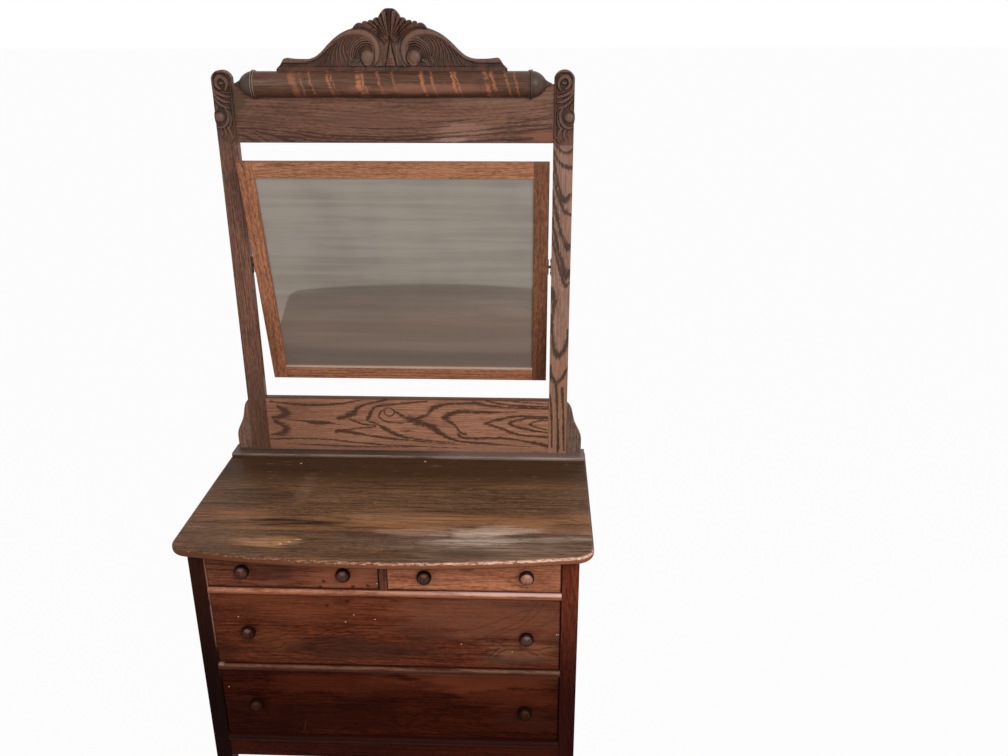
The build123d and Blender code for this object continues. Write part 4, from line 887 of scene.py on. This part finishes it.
# ---------------------------------------------------------------- turned roll
#
# Half of a quarter-sawn turning, glued flat on the upper rail: a plain drum with a double
# ring and a bell at each end. Broad rays flash orange across the grain.

low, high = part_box("roll")
centre = ((low.x + high.x) / 2, high.y, (low.z + high.z) / 2)
drum, ring, reach = 0.033, 0.037, (high.x - low.x) / 2
half_drum = 0.354
rings = [(-0.0015, drum), (0.0, drum + 0.0010), (0.0012, ring - 0.0022), (0.0022, ring - 0.0008),
         (0.0036, ring - 0.0004), (0.0050, ring - 0.0012), (0.0058, ring - 0.0030),
         (0.0066, ring - 0.0016), (0.0080, ring - 0.0002), (0.0096, ring), (0.0112, ring - 0.0010),
         (0.0122, ring - 0.0030), (0.0126, drum - 0.0004)]
bell = [(0.08, 0.99), (0.18, 0.95), (0.30, 0.87), (0.40, 0.78), (0.50, 0.66), (0.58, 0.53),
        (0.63, 0.43), (0.645, 0.385), (0.66, 0.36), (0.74, 0.27), (0.82, 0.195), (0.91, 0.13),
        (0.98, 0.09), (1.0, 0.0)]
bell_start = half_drum + rings[-1][0]
right_half = [(0.0, drum)] + [(half_drum + a, r) for a, r in rings]
right_half += [(bell_start + (reach - bell_start) * t, drum * share) for t, share in bell]
profile = [(-a, r) for a, r in reversed(right_half[1:])] + right_half
roll = turned("turned_roll", profile, [centre], (1.0, 0.0, 0.0), sweep=math.pi, steps=48)
roll_wood = oak("roll_oak", "X", "Z", (0.5, 1.9), tone(94, 63, 47), tone(64, 41, 30), tone(44, 27, 20),
                slant=(0.005, 0.0), ring=0.003, figure=0.5, gloss=0.3, shine=0.16, seed=3.3)
broken = roll_wood.noise(roll_wood.place, (26.0, 70.0, 70.0), 5.0, 0.75)
wander = roll_wood.calc("MULTIPLY_ADD", broken, 0.036, -0.018)
flake_lean = 0.30
lean = roll_wood.calc("MULTIPLY_ADD", roll_wood.z, flake_lean, roll_wood.calc("ADD", roll_wood.x, wander))
for x, width, strength in (
    (-0.249, 0.013, 0.45), (-0.229, 0.004, 0.6), (-0.203, 0.004, 0.6), (-0.157, 0.005, 0.7),
    (-0.146, 0.003, 0.6), (-0.079, 0.010, 1.0), (-0.066, 0.005, 0.8), (-0.026, 0.005, 0.55),
    (0.012, 0.004, 0.4), (0.086, 0.007, 0.9), (0.112, 0.004, 0.7), (0.167, 0.005, 0.95),
    (0.177, 0.004, 0.8), (0.250, 0.009, 0.85), (0.268, 0.007, 0.7), (0.304, 0.004, 0.6),
    (0.326, 0.004, 0.6),
):
    off = roll_wood.calc("ABSOLUTE", roll_wood.calc("SUBTRACT", lean, x + flake_lean * centre[2]))
    flake = roll_wood.times(roll_wood.span(off, width, width * 0.3), roll_wood.span(broken, 0.36, 0.55))
    roll_wood.paint(tone(182, 112, 76), flake, strength * 0.66)
ends = roll_wood.span(roll_wood.calc("ABSOLUTE", roll_wood.x), half_drum - 0.002, half_drum + 0.004)
roll_wood.paint(tone(66, 53, 47), ends, 0.8)
# painted highlights along the two ring beads at the left end
for along, width, strength in ((0.0040, 0.0020, 0.55), (0.0098, 0.0018, 0.85)):
    off = roll_wood.calc("ABSOLUTE", roll_wood.calc("ADD", roll_wood.x, half_drum + 0.0138 - along))
    roll_wood.paint(tone(140, 124, 106), roll_wood.span(off, width, width * 0.4), strength)
# painted shade on the roll's lower part, and a painted highlight along its middle
roll_wood.paint(tone(66, 36, 24), roll_wood.span(roll_wood.z, centre[2] - 0.006, low.z), 0.55)
roll_highlight = roll_wood.spot((0.08, low.y, centre[2] - 0.010), (0.28, 0.04, 0.018), 1.2)
roll_wood.paint(tone(156, 106, 84), roll_highlight, 0.38)
roll_wood.onto(roll.name)
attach(roll, "case")
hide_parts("roll")

# ---------------------------------------------------------------- carved crest
#
# A thick board standing on the upper rail behind the roll, sawn to its outline and carved by
# hand: two volutes back to back with fluted leaves, a palmette fanning up between them, and
# a ribbed spire at the root. Every hollow is painted darker, as wax and dust and as shade,
# and the proudest parts are painted lighter, as wear and as highlight.

crest_low, crest_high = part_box("crest")
crest_half = crest_high.x / mm
base_z = crest_low.z / mm
# millimetres out from the middle, up from the crest's foot, and proud of the ground
leaf_near, leaf_far, leaf_foot = 74, 212, 42
strip_end, strip_top, strip_height = 297, 43.5, 3.4
shoulder_near, shoulder_far, shoulder_foot = 208, 283, 51.5
eye_x, eye_z, eye_wide, eye_tall = 60.5, 66.0, 18.5, 20.5
hood_x, hood_z = 62.0, 70.0
spire_top, proudest = 118, 11.8
crest_edge = [[(0, 184), (9, 183.2), (17, 178), (24, 169.5), (28, 161)],
              [(28, 161), (34, 162.5), (40, 158.5), (42.5, 152.5)],
              [(42.5, 152.5), (48, 156.5), (54, 154.5), (56.5, 149.5)],
              [(56.5, 149.5), (62, 154), (68, 152.5), (70.5, 147)],
              [(70.5, 147), (78, 150), (87, 146), (95, 137)],
              [(95, 137), (110, 132), (129, 123), (146, 111), (161, 98), (176, 83), (192, 70.5),
               (208, 64), (222, 62)],
              [(222, 62), (250, 62.5), (273, 65)],
              [(273, 65), (280, 62), (289, 49), (297, 41), (300, 38)]]
edge_line = np.vstack([smooth(lobe) for lobe in crest_edge])
columns, rows = 300, 132
side = np.linspace(0.0, crest_half, columns + 1)
x = np.concatenate([-side[:0:-1], side])
top = np.interp(np.abs(x), edge_line[:, 0], edge_line[:, 1])
share = np.linspace(0.0, 1.0, rows)
grid_x = np.repeat(x[:, None], rows, axis=1)
grid_z = top[:, None] * share[None, :]
x, z = np.abs(grid_x), grid_z

# the ground, the long fluted leaf and the flat base strip
proud = np.full_like(x, 0.8)
leaf = held((leaf_far - x) / 20) * held((x - leaf_near) / 10) * held((z - leaf_foot) / 3)
leaf *= held(((top[:, None] - z) - 4.0) / 3.0)
proud += 2.2 * leaf
for flute in (
    ((96, 112, 1.6), (108, 100, 2.4), (113, 86, 2.8), (108, 70, 2.8), (100, 58, 2.2)),
    ((103, 117, 1.6), (116, 102, 2.6), (121, 86, 3.0), (118, 68, 3.0), (112, 49, 2.2)),
    ((112, 117, 1.6), (124, 102, 2.6), (129.5, 86, 3.0), (129, 68, 3.0), (126, 47, 2.2)),
    ((121, 113, 1.6), (132, 99, 2.6), (138, 84, 3.0), (140, 66, 3.0), (139, 46, 2.2)),
    ((131, 107, 1.6), (141, 93, 2.6), (147.5, 78, 3.0), (151, 62, 2.8), (153, 46, 2.2)),
    ((143, 98, 1.6), (152, 85, 2.6), (158.5, 71, 2.8), (163, 58, 2.6), (167, 46, 2.2)),
    ((155, 89, 1.6), (163, 77, 2.4), (170, 65, 2.6), (175, 55, 2.4), (180, 46, 2.0)),
    ((167, 79, 1.4), (175, 68, 2.2), (182, 58, 2.2), (190, 47, 1.6)),
):
    proud = np.maximum(proud, 7.2 * round_top(rib(x, z, flute)) * held((z - leaf_foot) / 3))
strip = held(strip_top - z) * held((strip_end - x) / 2)
proud = np.maximum(proud, strip_height * strip)

# the shoulder: a sunk panel under a rolled rim that runs on into the volute's band
shoulder = held((x - shoulder_near) / 10) * held((shoulder_far - x) / 3)
proud = np.maximum(proud, 1.0 + 6.6 * shoulder * round_top(held((z - shoulder_foot) / 4.0)))
band = rib(x, z, ((222, 58, 4.0), (208, 60.5, 4.5), (193, 66, 5.0), (177, 78, 5.5), (161, 92.5, 6.5),
                  (146, 105, 7.5), (129, 116, 8.5), (110, 123.5, 10), (88, 126, 11.5),
                  (66, 122.5, 12.5), (48, 112, 12.5), (37.5, 96, 11.5), (35, 79, 10.5), (38, 63, 9.2),
                  (46, 51.5, 7.5), (57, 47.5, 5.5), (67, 50, 4.0)), 10)
crease = rib(x, z, ((150, 99, 2.2), (129, 110, 3.0), (108, 117.5, 4.0), (87, 119, 4.6),
                    (67, 115.5, 5.0), (52, 106, 5.0), (43.5, 92, 4.4), (41.5, 79, 3.8), (44, 67, 3.0),
                    (51, 57, 2.2)), 10)
proud = np.maximum(proud, 9.6 * round_top(held(band * 1.2)) - 2.6 * crease)
hollow_eye = held(1.2 - np.hypot((x - 66) / 25.0, (z - 76) / 30.0)) * held((z - 46) / 3)
proud -= 4.0 * hollow_eye * held((x - 44) / 6)
for reach, crown, width in ((25.0, 6.4, 2.2), (30.5, 7.2, 2.5), (36.0, 7.8, 2.8), (41.0, 8.0, 3.0)):
    hood = []
    for degrees in range(-8, 156, 16):
        turn = math.radians(degrees)
        swell = math.sin(math.radians((degrees + 28) / 186 * 180)) ** 0.6
        hood.append((hood_x + reach * math.cos(turn), hood_z + 1.06 * reach * math.sin(turn),
                     width * swell + 0.3))
    proud = np.maximum(proud, crown * round_top(rib(x, z, hood)))
from_eye = np.hypot((x - eye_x) / eye_wide, (z - eye_z) / eye_tall)
proud = np.where(np.abs(from_eye - 1.07) < 0.09, np.minimum(proud, 3.4), proud)
proud = np.maximum(proud, 9.4 * round_top(held((1.0 - from_eye) * 1.2)))
for hook in (((100, 66, 2.6), (106, 58, 3.0), (107, 49, 3.0), (98, 46.5, 2.4), (88, 47, 1.6)),
             ((82, 60, 3.2), (90, 55, 3.0), (96, 48, 2.0))):
    proud = np.maximum(proud, 6.0 * round_top(rib(x, z, hook)))

# the palmette: leaves from one root, each hollowed down its middle, ending in curled tips
for leaf_line, crown in (
    (((0, 118, 2.0), (0, 145, 4.0), (0, 180, 5.6)), 9.0),
    (((3, 112, 2.0), (8, 140, 3.4), (13, 173, 6.0)), 10.5),
    (((5, 110, 1.8), (15, 138, 3.0), (26, 163, 5.2)), 8.6),
    (((7, 108, 1.8), (20, 134, 2.8), (37, 157, 5.0)), 9.4),
    (((9, 106, 1.8), (27, 132, 2.6), (49.5, 152, 4.6)), 7.4),
    (((11, 104, 1.8), (34, 130, 2.4), (63, 149, 4.6)), 7.8),
    (((13, 102, 1.8), (42, 130, 2.4), (76, 145, 4.8), (92, 138, 3.0)), 7.0),
):
    line = rib(x, z, leaf_line)
    over_band = 3.0 * held(band * 4) * (x > 24)
    hollowed = crown * round_top(held(line * 1.3)) - 3.4 * held(line * 2 - 0.8)
    proud = np.maximum(proud, hollowed - over_band)
beside_band = rib(x, z, ((92, 135.5, 2.4), (76, 136.5, 2.6), (58, 133, 3.0), (42, 122.5, 3.2),
                         (29, 107, 3.2), (23, 88, 3.0), (24, 70, 2.6), (31, 54, 2.2)), 10)
proud = np.where(beside_band > 0, np.minimum(proud, 1.0 + 4.0 * (1 - beside_band)), proud)
spire_half = np.interp(z, (43, 60, 80, 100, spire_top), (15.0, 10.5, 6.0, 2.4, 0.2))
flank = held((z - strip_top) / 1.5) * held((x - spire_half) / 2.5) * held((112 - z) / 20)
flank *= held(1 - band * 5)
proud = np.maximum(proud, 5.5 * flank * (x < 48))
beside_spire = rib(x, z, ((36, 45, 2.6), (25, 60, 2.6), (17, 80, 2.4), (12, 102, 2.0), (13, 120, 1.4)))
proud = np.maximum(proud, 7.6 * round_top(beside_spire))
spire = held((spire_half - x) / 2.0) * held(z - strip_top) * held((spire_top - z) / 3)
proud = np.where(np.abs(x - spire_half - 0.8) < 1.1, np.minimum(proud, 2.0), proud)
proud = np.maximum(proud, 5.6 * spire + 1.6 * spire * held(1 - x / np.maximum(spire_half, 0.5)))
for rung, reach in ((47.5, 9.0), (53.0, 7.6), (58.6, 6.2), (64.4, 4.8)):
    from_rung = np.abs(z - rung - x * 0.12) / 1.9
    proud += 2.6 * spire * round_top(held(1 - from_rung)) * held((reach - x) / 1.5)

# every arris along the outline is eased
to_edge = np.minimum(top[:, None] - z, crest_half - x)
proud *= 0.55 + 0.45 * round_top(held(to_edge / 5.0))
proud = np.clip(proud, 0.0, proudest)
front_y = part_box("upper_rail")[0].y
crest = carved("carved_crest", grid_x, base_z + grid_z, proud, front_y, crest_high.y, proud)

carving_wood = oak("carved_oak", "Z", "Y", (0.9, 0.0), tone(96, 71, 59), tone(68, 48, 39), tone(46, 31, 25),
                   slant=(0.05, 0.1), ring=0.004, figure=0.4, gloss=0.40, shine=0.14, seed=7.7)
height_read = carving_wood.node("ShaderNodeAttribute", attribute_name="drawn").outputs["Fac"]
crust = carving_wood.noise(carving_wood.place, (120.0, 120.0, 120.0), 4.0, 0.7)
uneven = carving_wood.calc("MULTIPLY_ADD", crust, 3.0, -1.5)
rough_height = carving_wood.calc("ADD", height_read, uneven)
# the hollows are painted darker, as dirt and as painted shade
dirt_and_shade_in_hollows = carving_wood.span(rough_height, 6.5, 0.5)
in_front = carving_wood.span(carving_wood.y, crest_high.y - 0.001, crest_high.y - 0.005, 0.0, 0.85)
carving_wood.paint(tone(34, 22, 18), dirt_and_shade_in_hollows, in_front)
# the proudest parts are painted lighter, as wear and as a painted highlight
lightened = carving_wood.span(rough_height, 6.0, 9.5)
patches = carving_wood.noise(carving_wood.place, (28.0, 28.0, 28.0), 3.0, 0.6)
reddish = carving_wood.span(patches, 0.46, 0.62)
carving_wood.paint(tone(96, 56, 42), reddish, in_front, 0.45)
carving_wood.paint(tone(120, 90, 75), lightened, 0.30)
carving_wood.onto(crest.name)
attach(crest, "case")
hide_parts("crest")

# ---------------------------------------------------------------- carved post heads
#
# A carving glued on the front of each post's head: a scroll at the top, lobes sweeping
# inwards under it, a ball held in a crescent, and a husk hanging to a point.

# millimetres from the post's middle line outwards, and down from its top
carving_length, ball_x, ball_down, ball_wide, ball_tall = 190.0, 13.5, 119, 14.5, 14.0
for sign, side in ((-1, "left"), (1, "right")):
    post_low, post_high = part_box(f"mirror_post_{side}")
    post_x = (post_low.x + post_high.x) / 2 / mm
    post_top = post_high.z / mm
    half = (post_high.x - post_low.x) / 2 / mm
    down = np.linspace(1.5, carving_length, 300)
    arch = np.sqrt(held(1 - (1 - held(down / half)) ** 2))
    across = np.linspace(-1.0, 1.0, 86)
    overhang = 2.6 * np.sqrt(held(1 - ((down - ball_down) / ball_tall) ** 2))
    reach = np.minimum(half * arch, half - 0.6)
    x = reach[:, None] * across[None, :] + held(across[None, :]) * overhang[:, None]
    z = np.repeat(down[:, None], across.size, axis=1)

    proud = np.full_like(x, 1.4)
    inside = np.minimum(reach[:, None] - np.abs(x), z - 1.0)
    rim_wide = round_top(held(1 - np.abs(inside - 3.4) / 3.6))
    proud = np.maximum(proud, 8.4 * rim_wide * held((56 - z) / 10) * held((x + 22) / 6))
    for path, crown in (
        (((-10, 50, 3.0), (-15, 36, 4.6), (-10, 22, 6.0), (3, 16, 6.6), (13, 25, 6.4), (13, 38, 5.6),
          (4, 47, 3.6)), 8.8),
        (((-4, 32, 4.6), (2, 33, 5.0)), 7.0),
        (((22, 36, 2.8), (20, 50, 4.6), (9, 59, 5.2), (-6, 65, 4.6), (-19, 67, 3.0)), 8.6),
        (((-19, 56, 2.4), (-8, 56, 3.0), (3, 53, 2.4)), 5.8),
        (((22, 57, 3.4), (14, 68, 4.8), (2, 76, 5.0), (-9, 80, 4.2), (-18, 80, 2.6)), 8.6),
        (((21, 71, 3.0), (12, 83, 4.2), (0, 91, 4.6), (-14, 95, 3.0)), 7.6),
        (((20, 86, 3.0), (18, 96, 4.6), (22, 103, 3.4)), 6.6),
        (((-4, 97, 3.0), (-10, 107, 4.4), (-9, 124, 5.0), (-1, 139, 5.0), (12, 145, 4.0),
          (23, 143, 3.0)), 7.2),
        (((-15, 104, 2.0), (-17, 122, 3.4), (-13, 138, 4.0), (-6, 150, 3.4)), 6.0),
        (((-6, 146, 4.4), (-13, 160, 4.4), (-15, 174, 4.0), (-9, 184, 3.2), (-3, 178, 2.6)), 7.6),
        (((3, 150, 3.8), (1, 164, 4.2), (4, 174, 2.6)), 6.4),
        (((14, 152, 3.6), (12, 163, 3.4), (13, 171, 1.6)), 5.6),
        (((-23.6, 40, 2.0), (-23.4, 90, 2.4), (-23.0, 130, 2.6), (-22.6, 162, 3.0), (-19.5, 172, 2.6)),
         6.4),
    ):
        line = rib(x, z, path)
        proud = np.maximum(proud, crown * round_top(held(line * 1.15)) - 1.4 * held(line * 2.2 - 1.2))
    from_ball = np.hypot((x - ball_x) / ball_wide, (z - ball_down) / ball_tall)
    moat = held(1.0 - np.abs(from_ball - 1.12) / 0.2)
    proud = np.where(moat > 0, np.minimum(proud, 7.0 - 6.0 * moat), proud)
    proud = np.maximum(proud, 9.0 * round_top(held((1.0 - from_ball) * 1.3)))
    fade = np.clip((carving_length - z) / 12, 0.02, 1)
    bare = held((z - 140) / 30) * np.clip(5.0 - proud, 0, 5) + held((z - 176) / 10) * 3.0
    outline = held(np.minimum(reach[:, None] - np.abs(x) + 0.8, z - 0.5) / 3.0)
    proud = np.clip(proud * (0.45 + 0.55 * round_top(outline)) * (0.3 + 0.7 * fade), 0.2, 9.0)
    head = carved(f"carved_post_head_{side}", post_x + sign * x, post_top - z, proud, post_low.y,
                  post_low.y + 0.0005, proud + bare)
    carving_wood.onto(head.name)
    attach(head, "case")
    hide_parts(f"post_carving_{side}")

# ---------------------------------------------------------------- mirror frame
#
# Four flat members, half-lapped at the corners, round a silvered plate held in by a thin
# backboard. It hangs between the posts on iron pins and leans forward.

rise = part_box("mirror_rail_top")[0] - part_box("mirror_rail_bottom")[0]
tilt = -rise.y / rise.z
member_width = 0.0415
for name, grain, heart, pale, deep, slant in (
        ("mirror_stile_left", "Z", (-0.47, 0.80), tone(164, 108, 78), tone(128, 78, 53), (0.01, tilt)),
        ("mirror_stile_right", "Z", (0.31, 0.80), tone(132, 86, 62), tone(98, 60, 42), (0.01, tilt)),
        ("mirror_rail_top", "X", (1.72, 0.16), tone(166, 113, 80), tone(132, 87, 60), (-0.14, 0.03)),
        ("mirror_rail_bottom", "X", (0.98, 0.55), tone(164, 110, 80), tone(128, 80, 56), (0.01, 0.0))):
    member = oak(f"{name}_oak", grain, "Y", heart, pale, deep, tone(66, 40, 29), slant=slant, ring=0.0050,
                 sway=0.008, figure=0.8, gloss=0.32, shine=0.14, seed=heart[0] * 3)
    if name == "mirror_rail_bottom":
        # a painted highlight along the rail's inner edge, where it meets the glass
        up = rise.normalized()
        raised = member.vector("DOT_PRODUCT", member.place, tuple(up), result="Value")
        lip = (sum(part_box(name), Vector()) / 2).dot(up) + member_width / 2
        member.paint(tone(190, 172, 156), member.span(raised, lip - 0.0026, lip - 0.0014), 0.6)
    member.onto(name)

# The plate's colour is a painted reflection of a dim grey-beige room: cloudy, paler low down, with darker
# bands and a darker strip at the foot.
glass = Finish("silvered_plate")
height = glass.node("ShaderNodeSeparateXYZ", glass.place).outputs[2]
smear = glass.noise(glass.place, (1.5, 40.0, 40.0), 4.0, 0.6)
clouds = glass.noise(glass.place, (3.0, 3.0, 3.0), 3.0, 0.6)
glass.colour = glass.mix(glass.span(clouds, 0.3, 0.7), tone(142, 134, 123), tone(126, 118, 109))
glass.paint(tone(158, 150, 140), glass.span(smear, 0.40, 0.62), 0.35)
glass.paint(tone(162, 143, 131), glass.span(height, 1.36, 1.16), 0.75)
reflected_bands = glass.span(glass.noise(glass.place, (0.8, 22.0, 22.0), 3.0, 0.6), 0.42, 0.60)
glass.paint(tone(128, 108, 98), reflected_bands, glass.span(height, 1.45, 1.25), 0.35)
glass.paint(tone(116, 104, 96), glass.span(height, 1.14, 1.09), 0.45)
glass.shader.inputs["Metallic"].default_value = 0.44
glass.shader.inputs["Specular IOR Level"].default_value = 0.1
glass.feed(glass.shader.inputs["Roughness"], glass.calc("MULTIPLY_ADD", smear, 0.05, 0.02))
glass.onto("mirror_glass")
backing = oak("backboard_wood", "X", "Y", (0.5, 0.6), tone(150, 118, 84), tone(118, 88, 60),
              tone(84, 60, 40), slant=(0.02, 0.03), figure=0.45, gloss=0.8, seed=6.6)
backing.onto("mirror_backboard")
iron = Finish("pivot_iron")
rust = iron.noise(iron.place, (220.0, 220.0, 220.0), 5.0, 0.7)
iron.colour = iron.mix(iron.span(rust, 0.4, 0.65), tone(64, 58, 54), tone(98, 62, 42))
iron.shader.inputs["Metallic"].default_value = 0.85
iron.feed(iron.shader.inputs["Roughness"], iron.span(rust, 0.3, 0.7, 0.42, 0.75))
iron.feed(iron.shader.inputs["Normal"], iron.node("ShaderNodeBump", 0.4, 0.0004, None, rust).outputs[0])
iron.onto("mirror_socket_left", "mirror_socket_right", "post_pivot_left", "post_pivot_right")

# ---------------------------------------------------------------- floor, light and camera
#
# A white studio: the floor runs far back, one large soft lamp hangs in front and to the
# right, and the camera stands at standing eye height, tipped down at the drawers.


def lit_only(tree, plain, share=1.0):
    """Show plain to the camera, and to gloss and glass, over the material's own light."""
    seen = tree.nodes.new("ShaderNodeLightPath").outputs
    any_of = seen["Is Camera Ray"]
    for ray in ("Is Glossy Ray", "Is Transmission Ray"):
        both = tree.nodes.new("ShaderNodeMath")
        both.operation = "MAXIMUM"
        tree.links.new(any_of, both.inputs[0])
        tree.links.new(seen[ray], both.inputs[1])
        any_of = both.outputs[0]
    part = tree.nodes.new("ShaderNodeMath")
    part.operation = "MULTIPLY"
    part.inputs[1].default_value = share
    tree.links.new(any_of, part.inputs[0])
    output = next(n for n in tree.nodes if n.bl_idname in ("ShaderNodeOutputMaterial",
                                                           "ShaderNodeOutputWorld"))
    blend = tree.nodes.new("ShaderNodeMixShader")
    tree.links.new(part.outputs[0], blend.inputs[0])
    tree.links.new(output.inputs["Surface"].links[0].from_socket, blend.inputs[1])
    tree.links.new(plain.outputs[0], blend.inputs[2])
    tree.links.new(blend.outputs[0], output.inputs["Surface"])


floor_half, paper_grey, paper_white, daylight = 60.0, 0.45, 0.965, 0.55
floor_mesh = bmesh.new()
bmesh.ops.create_grid(floor_mesh, x_segments=1, y_segments=1, size=floor_half)
floor = stand("studio_floor", floor_mesh)
paper = bpy.data.materials.new("studio_paper")
paper.use_nodes = True
coating = paper.node_tree.nodes["Principled BSDF"].inputs
coating["Base Color"].default_value = (paper_grey, paper_grey, paper_grey, 1.0)
coating["Roughness"].default_value = 0.9
coating["Specular IOR Level"].default_value = 0.1
lit_only(paper.node_tree, paper.node_tree.nodes.new("ShaderNodeEmission"), share=paper_white)
floor.data.materials.append(paper)

world = bpy.data.worlds.new("studio")
bpy.context.scene.world = world
world.use_nodes = True
sky = world.node_tree.nodes["Background"].inputs
sky["Color"].default_value = (1.0, 1.0, 1.0, 1.0)
sky["Strength"].default_value = daylight
white = world.node_tree.nodes.new("ShaderNodeBackground")
white.inputs["Color"].default_value = (1.0, 1.0, 1.0, 1.0)
lit_only(world.node_tree, white)

for name, place, aim, size, power in (("key_lamp", (1.5, -2.6, 3.0), (0.0, 0.0, 1.1), 2.2, 115.0),
                                      ("fill_lamp", (-2.6, -2.4, 1.8), (0.0, 0.0, 1.0), 2.5, 22.0)):
    lamp = bpy.data.lights.new(name, "AREA")
    lamp.size = size
    lamp.energy = power
    holder = bpy.data.objects.new(name, lamp)
    holder.location = place
    holder.rotation_euler = (Vector(aim) - Vector(place)).to_track_quat("-Z", "Y").to_euler()
    bpy.context.scene.collection.objects.link(holder)

camera = bpy.data.objects.new("camera", bpy.data.cameras.new("camera"))
bpy.context.scene.collection.objects.link(camera)
eye = (0.386206, -2.238556, 2.049892)
yaw, pitch, roll_angle = 0.0390036, -0.3783478, -0.0029116
turned_to = Euler((math.pi / 2 + pitch, 0.0, yaw)).to_matrix().to_4x4()
camera.matrix_world = Matrix.Translation(eye) @ turned_to @ Matrix.Rotation(roll_angle, 4, "Z")
camera.data.sensor_width = 36.0
camera.data.lens = 32.767
camera.data.clip_end = 200.0
bpy.context.scene.camera = camera
bpy.context.scene.view_settings.view_transform = "Standard"
